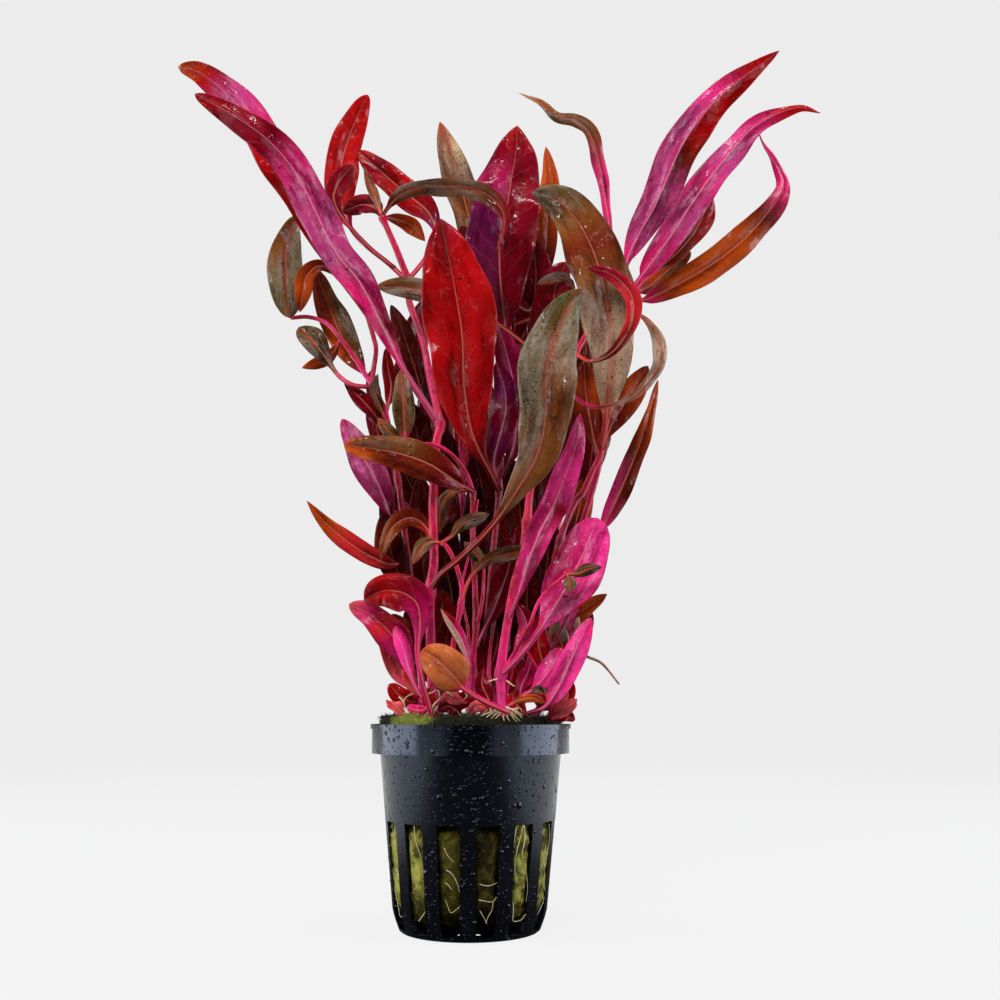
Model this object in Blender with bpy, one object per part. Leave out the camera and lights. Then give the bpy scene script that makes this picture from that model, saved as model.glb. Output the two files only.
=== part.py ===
"""Alternanthera reineckii growing from a plug of wool in a slotted pot.

The pot stands on z = 0 with its axis on the world's Z axis. The plant is laid out as it is
seen by an eye in front of the pot, level with the rim: every point of a stem or leaf is
written as (column, row, fore), its place in a picture 1000 pixels square and how many
millimetres it stands in front of the pot's axis. Widths and thicknesses are in millimetres.
"""
import math
from collections import namedtuple

import bmesh
import bpy
from mathutils import Vector

MM = 0.001

# Pot, in millimetres
SLOTS = 14
BAR_WIDTH = 3.8
WALL = 1.0
SLOT_BOTTOM = 1.2
SLOT_TOP = 25.9
RIM_BOTTOM = 41.7
POT_HEIGHT = 48.7
BASE_RADIUS = 16.7
SLOT_BOTTOM_RADIUS = 17.5
BEND_RADIUS = 18.8
BEND_HEIGHT = 5.0
SLOT_TOP_RADIUS = 20.9
NECK_RADIUS = 22.5
RIM_RADIUS = 25.0
LIP_HEIGHT = 1.1
LIP_DEPTH = 0.4
FLOOR_SLOT_INNER = 7.0
FLOOR_SLOT_OUTER = 13.5
FLOOR_SLOT_HALF_ANGLE = math.radians(6.5)

# Wool plug, in millimetres
PLUG_GAP = 0.5
PLUG_BOTTOM = 3.1
PLUG_TOP = 51.1
PLUG_SIDES = 16
PLUG_FOOT_INNER = 12.0
PLUG_FOOT_RADIUS = 15.4
BEND_SLACK = 0.2
NECK_SLACK = 0.1
SWELL_RADIUS = 22.6
PLUG_TOP_RADIUS = 22.9
CROWN_RADIUS = 10.0

# Eye and picture that the plant is laid out from, in millimetres and pixels
EYE_BACK = 281.6
EYE_ACROSS = 7.3
EYE_HEIGHT = 51.2
EYE_TILT = math.radians(11.0)
FOCAL_PIXELS = 1100.0
PICTURE_CENTRE = 500.0

# Stems and leaves, in millimetres
STEM_SIDES = 5
NODE_SWELL = 1.3
STALK_WIDTH = 1.3
STALK_THICK = 0.9
BLADE_THICK = 0.6
BLADE_ROUNDING = 0.78
TIP_WIDTH = 0.3
TIP_THICK = 0.35
TIP_THINNING = 4.0
STALK_THINNING = 5.0
LEAF_STEPS = 7
SPAN_STEPS = 8
SMALL_LEAF_STEPS = 4
NARROW_LEAF_STEPS = 3
NARROW_LEAF_WIDTH = 4.0

OLIVE = (0.13, 0.09, 0.04)
BROWN = (0.22, 0.07, 0.02)
ORANGE = (0.45, 0.08, 0.01)
RED = (0.50, 0.015, 0.015)
CRIMSON = (0.32, 0.01, 0.04)
MAROON = (0.09, 0.005, 0.01)
PINK = (0.70, 0.06, 0.20)
MAUVE = (0.42, 0.08, 0.24)
GREEN = (0.12, 0.16, 0.05)

Stem = namedtuple("Stem", "route thick taper joints")
Leaf = namedtuple("Leaf", "route width stalk belly roll fold clear steps colour")


def stem(route, thick, taper=0.8, joints=()):
    """A stem along a route, thick at its foot, with swollen joints at route points"""
    return Stem(route, thick, taper, joints)


def leaf(route, width, colour, stalk=0.12, belly=0.5, roll=(0,), fold=0.15, clear=1.9,
         steps=LEAF_STEPS):
    """A leaf from its joint to its tip.

    stalk is the share of its length that is stalk, belly where the blade is widest,
    roll the turn of its face away from the eye in degrees, evenly spaced along the leaf,
    fold how far its edges stand above the midrib, clear the length left off at its joint
    and steps the number of lengths it is made of.
    """
    return Leaf(route, width, stalk, belly, roll, fold, clear, steps, colour)


STEMS = {
    "stem_left": [stem([
        (433, 712, 10), (431, 650, 11), (430, 592, 12), (434, 560, 12), (433, 500, 12),
        (437, 440, 11), (440, 424, 10), (431, 384, 7), (424, 346, 5), (415, 318, 3),
        (409, 301, 2), (407, 279, 2), (399, 256, 3), (391, 237, 4), (382, 217, 4)],
        2.7, 0.6, (2, 6, 11, 14))],
    "stem_fork": [
        stem([(424, 712, 0), (418, 640, 0), (408, 560, 1), (398, 480, 2), (386, 414, 2),
              (379, 399, 2), (372, 385, 2), (376, 352, 1), (374, 339, 0), (368, 318, -1),
              (364, 308, -1)], 2.1, 0.6, (2, 3, 6)),
        stem([(372, 385, 2), (356, 360, 2), (341, 339, 2), (326, 323, 1), (308, 317, 1),
              (291, 318, 1)], 1.5, 0.7)],
    "stem_salmon": [
        stem([(455, 712, 13), (453, 651, 14), (456, 632, 15), (461, 605, 15), (462, 588, 15),
              (456, 565, 15), (447, 547, 15), (441, 543, 15)], 1.5, 0.8, (3,))],
    "stem_centre": [
        stem([(472, 712, 6), (473, 679, 6), (474, 648, 6), (476, 624, 6), (475, 587, 7),
              (473, 540, 7), (473, 491, 8)], 1.6, 0.9, (3, 6)),
        stem([(473, 491, 8), (466, 473, 11), (455, 458, 14), (444, 449, 15),
              (431, 444, 15.5), (416, 445, 15.5), (406, 441, 15)], 1.2, 0.8),
        stem([(476, 624, 6), (480, 614, 7.5), (483, 592, 8), (484, 568, 8)], 1.1, 0.7)],
    "stem_right": [
        stem([(503, 712, 14), (501, 674, 14), (506, 632, 14), (514, 587, 13), (522, 555, 12),
              (527, 523, 12), (530, 493, 11), (538, 460, 10), (548, 430, 9), (562, 390, 8),
              (575, 355, 8), (588, 332, 7)], 2.6, 0.6, (1, 5, 10)),
        stem([(502, 674, 14), (516, 650, 18), (530, 624, 24), (537, 605, 25),
              (548, 590, 25), (567, 574, 25)], 1.0, 0.8)],
    "stem_arching": [stem([
        (520, 712, 2), (530, 660, 2), (545, 600, 2), (560, 540, 3), (575, 502, 4),
        (583, 492, 5), (592, 472, 6), (598, 460, 7), (601, 450, 8)], 1.9, 0.8, (3, 8))],
    "stem_outer": [stem([
        (517, 711, -7), (540, 640, -7), (570, 560, -5), (595, 480, -3), (612, 400, -1),
        (625, 330, 2), (630, 292, 3)], 2.0, 0.8, (2, 4, 6))],
    "stem_middle": [stem([
        (483, 712, -4), (489, 600, -1), (499, 490, 3), (504, 400, 0), (508, 345, -2),
        (511, 300, -4)], 1.9, 0.7, (2, 4))],
}

LEAVES = {
    # Left crown
    "leaf_long_mauve": leaf([
        (440, 424, 10), (405, 371, 16), (386, 333, 19), (361, 284, 22), (336, 252, 24),
        (313, 206, 26), (296, 173, 28), (270, 142, 30), (237, 118, 31), (195, 94, 31)],
        9.0, MAUVE, 0.16, 0.5, (180, 176, 185, 190), 0.12, 3.0),
    "leaf_long_left": leaf([
        (438, 426, 9), (395, 356, 8), (350, 290, 12), (318, 235, 14), (292, 185, 16),
        (270, 150, 17), (250, 118, 18), (225, 92, 19), (200, 73, 19), (178, 67, 19)],
        9.5, RED, 0.3, 0.6, (185, 170, 175, 190), 0.12, 4.2),
    "leaf_upright_red": leaf([
        (405, 279, 1), (388, 263, -1), (369, 248, -3), (352, 230, -4), (341, 203, -5),
        (341, 168, -6), (348, 140, -7), (359, 112, -7), (368, 95, -7)],
        9.5, RED, 0.36, 0.45, (10, 5, 0, 0)),
    "leaf_slanting_red": leaf([
        (409, 279, 2), (425, 259, -1), (436, 236, -4), (428, 212, -6), (403, 191, -7),
        (379, 170, -8), (358, 151, -8)], 8.5, RED, 0.34, 0.5, (0, 10, 15)),
    "leaf_arching_olive": leaf([
        (382, 216, 4), (397, 197, 8), (418, 188, 12), (445, 186, 15), (468, 187, 17),
        (488, 195, 18), (502, 210, 19), (504, 228, 19), (497, 250, 18)],
        5.6, OLIVE, 0.06, 0.4, (15, 35, 25, 50), 0.2, 2.0, 10),
    "leaf_brown_upright": leaf([
        (505, 330, -6), (492, 290, -8), (476, 245, -9), (467, 210, -9), (458, 178, -8),
        (448, 150, -7), (440, 122, -6)], 9.4, OLIVE, 0.2, 0.56, (0, 10, 15)),
    "leaf_tall_crimson": leaf([
        (508, 346, -1), (504, 315, 3), (500, 275, 6), (500, 235, 7), (507, 205, 7),
        (512, 175, 6), (516, 150, 5), (517, 126, 4)], 19.0, CRIMSON, 0.07, 0.48,
        (0, 0, 5), 0.1, 2.2),
    "leaf_big_red": leaf([
        (499, 490, 4), (490, 472, 12), (479, 450, 18), (470, 425, 21), (464, 385, 24),
        (462, 335, 27), (455, 290, 29), (447, 250, 30), (441, 219, 30)], 17.4, RED,
        0.14, 0.55, (0, 4, -4), 0.1, 2.2),
    "leaf_big_olive": leaf([
        (430, 592, 12), (440, 575, 16), (460, 558, 20), (490, 528, 24), (518, 488, 27),
        (537, 455, 30), (545, 420, 32), (546, 383, 33), (551, 349, 33), (562, 317, 32),
        (581, 288, 30)], 13.6, OLIVE, 0.28, 0.6, (0, 5, 5, 10), 0.1, 3.0, 10),
    "leaf_drooping_olive": leaf([
        (601, 450, 8), (606, 420, 12), (610, 380, 16), (611, 340, 19), (606, 300, 21),
        (597, 262, 22), (584, 232, 21), (568, 210, 20), (551, 197, 19), (532, 193, 18)],
        14.4, OLIVE, 0.1, 0.52, (15, 5, 5, 20), 0.12, 2.0, 10),
    "leaf_curling_red": leaf([
        (576, 354, 10), (590, 361, 20), (608, 355, 25), (624, 338, 27), (633, 316, 29),
        (630, 293, 29), (612, 275, 28), (586, 267, 27)], 4.4, RED, 0.2, 0.66,
        (30, 10, 20, 10), 0.15, 2.2, 10),
    "leaf_ring": leaf([
        (573, 357, 10), (568, 375, 13), (572, 393, 15), (585, 404, 16), (604, 407, 18),
        (630, 398, 17), (648, 381, 16), (659, 362, 15), (658, 340, 13), (648, 322, 11),
        (636, 312, 9)], 3.6, BROWN, 0.3, 0.6, (70, 60, 30, 20), 0.1, 1.6, 12),
    "leaf_brown_pair": leaf([
        (598, 460, 5), (592, 430, 3), (586, 395, 1), (584, 361, 0)], 8.0, BROWN,
        0.15, 0.5, (10, 0), 0.15, 3.4),
    "leaf_orange_back": leaf([
        (602, 450, 6), (612, 425, 3), (628, 398, 2), (648, 366, 2)], 7.0, ORANGE,
        0.15, 0.5, (0, 10), 0.15, 2.6),
    "leaf_far_right": leaf([
        (560, 545, 2), (583, 546, -2), (600, 530, -3), (614, 505, -3), (628, 473, -2),
        (640, 443, -1), (650, 412, 0), (658, 380, 1)], 5.4, ORANGE, 0.26, 0.35,
        (10, 15, 30)),
    # Right crown
    "leaf_top_right": leaf([
        (630, 290, 3), (626, 266, 4), (638, 236, 6), (654, 208, 8), (668, 176, 10),
        (684, 142, 12), (708, 109, 14), (735, 84, 15), (779, 51, 16)], 10.0, PINK,
        0.1, 0.42, (180, 175, 185), 0.1),
    "leaf_right_pink": leaf([
        (632, 289, 6), (652, 262, 11), (672, 234, 14), (690, 206, 16), (710, 178, 18),
        (730, 153, 19), (751, 130, 20), (776, 115, 21), (800, 108, 21), (820, 113, 20)],
        7.8, PINK, 0.06, 0.34, (180, 185, 160, 150), 0.12, 2.0, 10),
    "leaf_right_folded": leaf([
        (633, 291, 3.5), (655, 270, 5), (678, 252, 7), (697, 228, 9), (706, 205, 10),
        (707, 187, 10)], 7.0, MAROON, 0.2, 0.6, (25, 35), 0.1, 2.8),
    "leaf_low_orange": leaf([
        (630, 294, 1), (644, 300, 2), (680, 283, 4), (715, 262, 5), (745, 238, 6),
        (768, 212, 7), (783, 188, 8), (779, 170, 9), (764, 146, 10), (754, 119, 10)],
        8.2, ORANGE, 0.06, 0.38, (0, 10, 40, 80), 0.1, 2.0, 10),
    "leaf_thin_curled": leaf([
        (625, 332, 1), (617, 300, -2), (612, 250, -4), (606, 205, -5), (599, 165, -5),
        (590, 135, -4), (575, 121, -3), (556, 116, -2), (540, 103, -1), (519, 93, 0)],
        4.8, CRIMSON, 0.3, 0.58, (20, 15, 40, 60), 0.2, 2.0, 10),
    "leaf_orange_tip": leaf([
        (511, 301, -4), (530, 310, -9), (541, 280, -10), (546, 245, -11), (548, 205, -11),
        (550, 178, -11), (546, 147, -11)], 6.5, ORANGE, 0.22, 0.5, (0, 5)),
    "leaf_behind_dark": leaf([
        (562, 390, 7), (556, 350, 1), (553, 315, -1), (556, 285, -2), (566, 262, -3)],
        12.0, MAROON, 0.15, 0.5, (0, 0), 0.1),
    # Left side
    "leaf_hanging_olive": leaf([
        (364, 308, -1), (352, 275, -1), (332, 240, -1), (312, 221, 0), (295, 222, 2),
        (287, 245, 3), (286, 275, 4), (290, 318, 5)], 9.8, OLIVE, 0.36, 0.7,
        (20, 0, 0), 0.15, 2.0, 10),
    "leaf_red_curl": leaf([
        (363, 309, 1), (345, 282, 3), (322, 266, 5), (307, 276, 6), (303, 293, 6),
        (300, 312, 6)], 5.0, ORANGE, 0.3, 0.6, (20, 20, 10), 0.2),
    "leaf_left_brown": leaf([
        (372, 385, 0), (357, 362, -2), (341, 335, -3), (327, 302, -4), (315, 268, -4)],
        8.2, BROWN, 0.12, 0.45, (0, 0, 20), 0.15),
    "leaf_left_olive": leaf([
        (371, 387, 3.4), (353, 385, 6), (339, 376, 6), (328, 361, 6), (315, 343, 6),
        (299, 327, 5)], 6.6, OLIVE, 0.36, 0.7, (0, 15), 0.15, 2.2),
    "leaf_grey_upright": leaf([
        (405, 441, 16.5), (404, 420, 18), (403, 395, 18), (401, 370, 17)], 5.4, OLIVE,
        0.05, 0.4, (0,), 0.15),
    "leaf_behind_brown": leaf([
        (437, 428, 8), (424, 398, 2), (412, 360, 0), (401, 328, -1), (391, 305, -1)],
        6.0, BROWN, 0.2, 0.5, (0,)),
    "leaf_crossing_brown": leaf([
        (562, 390, 9), (545, 362, 12), (526, 345, 13), (495, 322, 14), (460, 305, 14),
        (430, 293, 14), (405, 288, 13), (377, 286, 12)], 5.8, BROWN, 0.5, 0.6, (0,)),
    "leaf_brown_across": leaf([
        (473, 491, 9), (460, 484, 16), (445, 474, 19), (429, 464, 20), (405, 455, 20),
        (376, 449, 19), (345, 443, 17)], 7.6, BROWN, 0.14, 0.45, (0, 10), 0.12),
    "leaf_pink_left": leaf([
        (403, 520, 2), (391, 516, 4), (385, 500, 5), (377, 482, 6), (366, 462, 7),
        (353, 440, 7), (342, 419, 7)], 8.0, MAUVE, 0.1, 0.5, (180, 175), 0.12),
    "leaf_pointing_left": leaf([
        (408, 562, 1), (390, 564, 5), (370, 556, 7), (352, 545, 9), (333, 530, 10),
        (319, 516, 11), (307, 501, 11)], 5.0, RED, 0.12, 0.4, (0, 10)),
    "leaf_dark_arch": leaf([
        (432, 545, 11), (426, 528, 10), (412, 518, 10), (396, 524, 10), (386, 540, 10),
        (381, 560, 10)], 8.0, CRIMSON, 0.08, 0.5, (20, 20, 20)),
    # Heart of the plant
    "leaf_purple_inner": leaf([
        (498, 486, 3), (494, 462, 8), (500, 435, 10), (506, 410, 11), (504, 385, 11),
        (496, 362, 11)], 6.8, MAUVE, 0.12, 0.5, (180, 175)),
    "leaf_magenta_outer": leaf([
        (501, 480, 3), (513, 450, 5), (517, 415, 6), (514, 385, 7), (506, 350, 7),
        (497, 322, 7)], 8.8, CRIMSON, 0.1, 0.5, (170, 175), 0.15, 2.4),
    "leaf_purple_low": leaf([
        (474, 650, 6), (483, 632, 4), (493, 612, 3), (503, 586, 3), (511, 558, 3),
        (516, 528, 3)], 6.6, MAUVE, 0.2, 0.5, (165, 175), 0.15, 3.4),
    "leaf_pink_slender": leaf([
        (508, 620, 14), (519, 592, 18), (529, 560, 20), (541, 530, 20), (554, 505, 19),
        (566, 475, 18), (576, 445, 17), (580, 414, 16)], 7.0, PINK, 0.1, 0.5,
        (180, 175), 0.12, 2.4),
    "leaf_pink_broad": leaf([
        (502, 674, 15), (516, 660, 18), (530, 643, 20), (545, 622, 21), (560, 598, 21),
        (573, 575, 20), (585, 550, 19), (598, 518, 18)], 13.0, PINK, 0.32, 0.56,
        (180, 172), 0.12, 2.2),
    "leaf_pink_low": leaf([
        (532, 712, 15), (546, 706, 18), (559, 687, 20), (572, 658, 20), (591, 618, 19)],
        6.0, PINK, 0.18, 0.45, (175, 170), 0.15, 0.0),
    "leaf_round_olive": leaf([
        (500, 712, 20.5), (484, 703, 21), (466, 690, 22), (452, 674, 23), (437, 660, 23),
        (422, 650, 22)], 9.8, BROWN, 0.42, 0.42, (0, 0), 0.06, 0.0),
    "leaf_curled_left": leaf([
        (431, 712, 16), (424, 680, 17), (418, 648, 17), (421, 622, 17), (416, 598, 17),
        (400, 583, 16), (381, 584, 15), (363, 600, 14)], 6.6, CRIMSON, 0.2, 0.68,
        (20, 12, 12), 0.15, 0.0, 9),
}

# Small leaves grown on their stem: stem name, then leaves
SMALL_LEAVES = {
    "stem_left": [
        leaf([(382, 217, 4), (377, 202, 2), (370, 184, 1), (364, 167, 1)], 2.6, OLIVE),
        leaf([(382, 217, 4), (374, 208, 1), (362, 205, -1), (346, 212, -2)], 4.5, MAROON,
             0.1, 0.5, (30,)),
        leaf([(382, 217, 4), (397, 219, 2), (412, 226, 0), (425, 241, -1)], 4.6, ORANGE,
             0.08, 0.5, (20,)),
    ],
    "stem_fork": [
        leaf([(385, 420, 2), (378, 402, 4), (374, 388, 5), (378, 374, 5)], 3.0, OLIVE,
             0.1, 0.5, (20,)),
        leaf([(386, 414, 2), (391, 388, 1), (388, 368, 0), (386, 348, 0)], 3.6, RED,
             0.15, 0.4),
        leaf([(386, 432, 2), (374, 414, 3), (360, 398, 4), (344, 382, 4)], 4.4, MAROON,
             0.1, 0.5, (20,)),
        leaf([(341, 339, 2), (333, 352, 1), (322, 361, 1), (302, 368, 1)], 3.6, ORANGE),
    ],
    "stem_salmon": [
        leaf([(441, 543, 15), (430, 542, 16), (421, 549, 17), (413, 564, 17)], 3.6, OLIVE,
             0.1, 0.5, (20,)),
        leaf([(441, 543, 15), (452, 536, 16), (463, 524, 17), (489, 514, 17)], 3.6, OLIVE,
             0.15, 0.6, (10,)),
        leaf([(461, 605, 15), (466, 587, 16), (475, 571, 17), (492, 558, 17), (532, 548, 17)],
             3.8, OLIVE, 0.3, 0.6, (10,)),
    ],
    "stem_centre": [
        leaf([(473, 491, 8), (458, 490, 9), (446, 497, 9), (440, 512, 9), (440, 534, 9)],
             3.2, OLIVE, 0.1, 0.5, (20,)),
        leaf([(406, 441, 15), (398, 438, 16), (388, 430, 17), (378, 418, 17)], 3.4, GREEN,
             0.1, 0.5),
        leaf([(484, 568, 8), (479, 558, 9), (471, 549, 9), (464, 542, 9)], 3.4, GREEN,
             0.1, 0.5),
    ],
    "stem_right": [
        leaf([(567, 574, 25), (578, 573, 25), (589, 569, 25), (602, 567, 25)], 2.8, OLIVE),
        leaf([(567, 574, 25), (569, 580, 25), (570, 585, 25), (570, 592, 25)], 3.2, GREEN),
    ],
    "stem_arching": [
        leaf([(545, 600, 2), (558, 612, 4), (578, 612, 7), (607, 594, 8)], 5.0, ORANGE,
             0.15, 0.5, (20,)),
        leaf([(530, 660, 2), (528, 630, -1), (527, 595, -3), (531, 548, -4)], 8.0, MAROON,
             0.12, 0.5, (10,)),
    ],
    "stem_outer": [
        leaf([(630, 292, 3), (646, 288, 0), (668, 270, -1), (691, 252, -2)], 6.0, MAROON,
             0.12, 0.5, (10,)),
        leaf([(570, 560, -5), (573, 535, -8), (579, 510, -10), (588, 475, -11)], 7.0, BROWN,
             0.12, 0.5, (10,)),
    ],
    "stem_middle": [
        leaf([(508, 345, -2), (497, 310, -2), (482, 270, -2), (461, 226, -2)], 9.0, MAROON,
             0.1, 0.6, (0,)),
    ],
}

# Young shoots low on the plug: a short stem with its leaves
ROSETTES = {
    "rosette_left": [
        stem([(420, 711, 6), (412, 690, 7), (404, 668, 8)], 1.8, 0.7),
        leaf([(411, 687, 7), (404, 660, 10), (394, 638, 11), (372, 616, 11), (349, 604, 11)],
             8.0, CRIMSON, 0.12, 0.5, (10, 20)),
        leaf([(413, 694, 7), (401, 674, 5), (391, 650, 4), (380, 631, 4)], 6.0, RED),
        leaf([(404, 668, 8), (402, 648, 5), (400, 632, 3), (394, 618, 2)], 5.0, PINK,
             0.1, 0.5, (170,)),
        leaf([(417, 703, 6), (408, 700, 9), (398, 694, 10), (389, 684, 10)], 4.6, RED),
    ],
    "rosette_right": [
        stem([(538, 711, 6), (548, 690, 7), (556, 668, 8)], 1.8, 0.7),
        leaf([(541, 705, 6), (556, 702, 9), (566, 694, 10), (571, 680, 10)], 4.6, RED),
        leaf([(548, 690, 7), (564, 668, 5), (577, 640, 4), (592, 612, 3)], 6.0, CRIMSON),
        leaf([(556, 668, 8), (556, 648, 11), (562, 625, 13), (576, 600, 13)], 5.6, PINK,
             0.1, 0.5, (170,)),
        leaf([(552, 680, 7), (543, 662, 9), (538, 640, 10), (540, 616, 10)], 5.0, RED),
        leaf([(544, 697, 7), (537, 690, 9), (532, 678, 10), (530, 664, 10)], 5.0, RED),
    ],
    "rosette_middle": [
        stem([(488, 711, -8), (486, 690, -8), (483, 668, -8)], 1.6, 0.7),
        leaf([(487, 698, -8), (497, 684, -7), (507, 660, -7), (514, 622, -8)], 7.0, RED,
             0.12, 0.5, (-20,)),
        leaf([(483, 668, -8), (474, 640, -8), (466, 612, -8), (458, 570, -8)], 8.0, CRIMSON,
             0.12, 0.5, (30,)),
        leaf([(484, 676, -8), (494, 645, -9), (500, 610, -10), (494, 565, -11)], 8.0, MAROON),
        leaf([(487, 702, -8), (477, 625, -5), (474, 550, -4), (477, 478, -2)], 8.0, MAROON,
             0.2),
        leaf([(486, 692, -8), (507, 612, -5), (512, 550, -5), (508, 490, -5)], 8.0, BROWN,
             0.2),
    ],
    "rosette_back": [
        stem([(452, 711, -5), (448, 690, -6), (444, 668, -7)], 1.6, 0.7),
        leaf([(451, 704, -5), (438, 686, -6), (428, 655, -7), (424, 620, -7)], 7.0, CRIMSON,
             0.12, 0.5, (20,)),
        leaf([(444, 668, -7), (442, 640, -9), (438, 605, -9), (430, 565, -9)], 8.0, CRIMSON),
        leaf([(446, 680, -6), (448, 655, -3), (446, 625, -2), (440, 590, -2)], 7.0, RED),
        leaf([(446, 674, -6), (430, 620, -6), (422, 550, -5), (418, 478, -4)], 8.0, BROWN),
    ],
}

# Shoots behind the others: a stem and the upright leaves that fill the plant's heart
BACK_SHOOTS = {
    "shoot_back_left": [
        stem([(440, 712, -11), (425, 600, -13), (405, 500, -16), (398, 420, -20)], 2.2, 0.7,
             (1, 2)),
        leaf([(420, 575, -13), (402, 545, -13), (390, 505, -14), (384, 455, -16)],
             9.0, CRIMSON, 0.12, 0.5, (30, 40)),
        leaf([(420, 575, -13), (438, 545, -12), (446, 505, -11), (446, 455, -11)], 9.0, RED,
             0.12, 0.5, (-20,)),
        leaf([(404, 490, -16), (384, 455, -19), (374, 415, -22), (372, 370, -25)], 9.0,
             MAROON, 0.12, 0.5, (40, 55)),
        leaf([(404, 490, -16), (424, 460, -17), (432, 420, -18), (432, 370, -18)], 9.0,
             CRIMSON, 0.12, 0.5, (-10,)),
        leaf([(398, 420, -20), (402, 385, -23), (412, 345, -26), (424, 300, -28)], 9.0,
             MAROON, 0.12, 0.5, (25,)),
    ],
    "shoot_back_middle": [
        stem([(470, 712, -14), (466, 600, -17), (462, 500, -19), (462, 390, -20)], 2.4, 0.7,
             (1, 2)),
        leaf([(466, 590, -17), (450, 555, -19), (443, 510, -22), (446, 460, -24)], 9.0,
             CRIMSON, 0.12, 0.5, (45, 70)),
        leaf([(466, 590, -17), (484, 555, -15), (492, 510, -12), (488, 455, -11)], 9.0, RED,
             0.12, 0.5, (-25,)),
        leaf([(462, 490, -19), (455, 450, -24), (452, 400, -27), (456, 345, -29)], 10.0,
             CRIMSON, 0.12, 0.5, (40,)),
        leaf([(462, 490, -19), (480, 450, -18), (486, 400, -16), (482, 345, -15)], 10.0,
             MAROON, 0.12, 0.5, (-30, -60)),
        leaf([(462, 390, -20), (458, 350, -19), (464, 300, -18), (470, 250, -17)], 10.0,
             RED, 0.12, 0.5, (10,)),
    ],
    "shoot_back_right": [
        stem([(495, 712, -14), (505, 600, -15), (519, 500, -16), (530, 390, -17)], 2.4, 0.7,
             (1, 2)),
        leaf([(507, 590, -15), (495, 555, -19), (494, 510, -22), (500, 455, -25)], 9.0,
             CRIMSON, 0.12, 0.5, (35, 60)),
        leaf([(506, 598, -14.8), (526, 560, -12), (538, 520, -10), (540, 470, -9)], 9.0, RED,
             0.12, 0.5, (-15, -50)),
        leaf([(520, 490, -16), (508, 450, -19), (508, 400, -22), (516, 345, -25)], 10.0,
             MAROON, 0.12, 0.5, (60,)),
        leaf([(520, 490, -16), (542, 455, -14), (554, 410, -12), (558, 355, -11)], 10.0,
             CRIMSON, 0.12, 0.5, (-20,)),
        leaf([(505, 601, -15), (524, 552, -16), (541, 503, -16), (550, 450, -17)], 8.0,
             MAROON, 0.2, 0.5, (-10,)),
        leaf([(529, 397, -17), (530, 350, -16), (524, 305, -15), (520, 255, -14)], 9.0,
             CRIMSON, 0.12, 0.5, (-25, -45)),
    ],
    "shoot_back_outer": [
        stem([(510, 712, -18), (535, 610, -22), (562, 510, -27), (580, 420, -32)], 2.2, 0.7,
             (1, 2)),
        leaf([(540, 590, -23), (528, 560, -26), (526, 520, -30), (534, 470, -34)], 8.0,
             CRIMSON, 0.12, 0.5, (60,)),
        leaf([(540, 590, -23), (562, 570, -20), (578, 540, -18), (588, 500, -17)], 7.0, RED,
             0.12, 0.5, (-30,)),
        leaf([(563, 505, -27), (556, 470, -31), (560, 430, -35), (572, 385, -39)], 8.0,
             MAROON, 0.12, 0.5, (60,)),
        leaf([(563, 505, -27), (584, 480, -24), (598, 445, -22), (606, 400, -21)], 7.0,
             CRIMSON, 0.12, 0.5, (-30,)),
        leaf([(580, 420, -32), (590, 385, -35), (596, 345, -39), (596, 300, -43)], 8.0,
             CRIMSON, 0.12, 0.5, (40,)),
    ],
    "shoot_rear": [
        stem([(455, 712, -19), (448, 610, -25), (446, 520, -32), (452, 430, -40)], 2.2, 0.7,
             (1, 2)),
        leaf([(448, 600, -26), (430, 570, -28), (418, 530, -31), (412, 480, -34)], 8.0,
             CRIMSON, 0.12, 0.5, (60,)),
        leaf([(448, 600, -26), (466, 570, -29), (476, 530, -33), (480, 480, -37)], 8.0, RED,
             0.12, 0.5, (-50,)),
        leaf([(446, 510, -33), (430, 475, -38), (424, 430, -44), (426, 380, -50)], 8.0,
             MAROON, 0.12, 0.5, (50,)),
        leaf([(446, 510, -33), (466, 475, -39), (480, 435, -45), (490, 390, -51)], 8.0,
             CRIMSON, 0.12, 0.5, (-50,)),
        leaf([(452, 430, -40), (456, 390, -46), (466, 345, -52), (480, 300, -58)], 8.0,
             CRIMSON, 0.12, 0.5, (40,)),
    ],
}


def clear_scene():
    for thing in list(bpy.data.objects):
        bpy.data.objects.remove(thing, do_unlink=True)


def material(name, colour, roughness):
    """A plain finish for one sub-part"""
    finish = bpy.data.materials.new(name)
    finish.use_nodes = True
    shader = finish.node_tree.nodes["Principled BSDF"]
    shader.inputs["Base Color"].default_value = (*colour, 1.0)
    shader.inputs["Roughness"].default_value = roughness
    shader.inputs["Metallic"].default_value = 0.0
    return finish


def add_object(name, mesh, colour, roughness=0.45):
    body = bpy.data.objects.new(name, mesh)
    bpy.context.collection.objects.link(body)
    mesh.materials.append(material(name + "_finish", colour, roughness))
    return body


def spot(column, row, fore):
    """The place, in metres, of a point of the picture that stands fore mm in front"""
    across = (column - PICTURE_CENTRE) / FOCAL_PIXELS
    up = (PICTURE_CENTRE - row) / FOCAL_PIXELS
    ahead = math.cos(EYE_TILT) - up * math.sin(EYE_TILT)
    rise = math.sin(EYE_TILT) + up * math.cos(EYE_TILT)
    reach = (EYE_BACK - fore) / ahead
    return Vector((EYE_ACROSS + across * reach, -fore, EYE_HEIGHT + rise * reach)) * MM


EYE = Vector((EYE_ACROSS, -EYE_BACK, EYE_HEIGHT)) * MM


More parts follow.
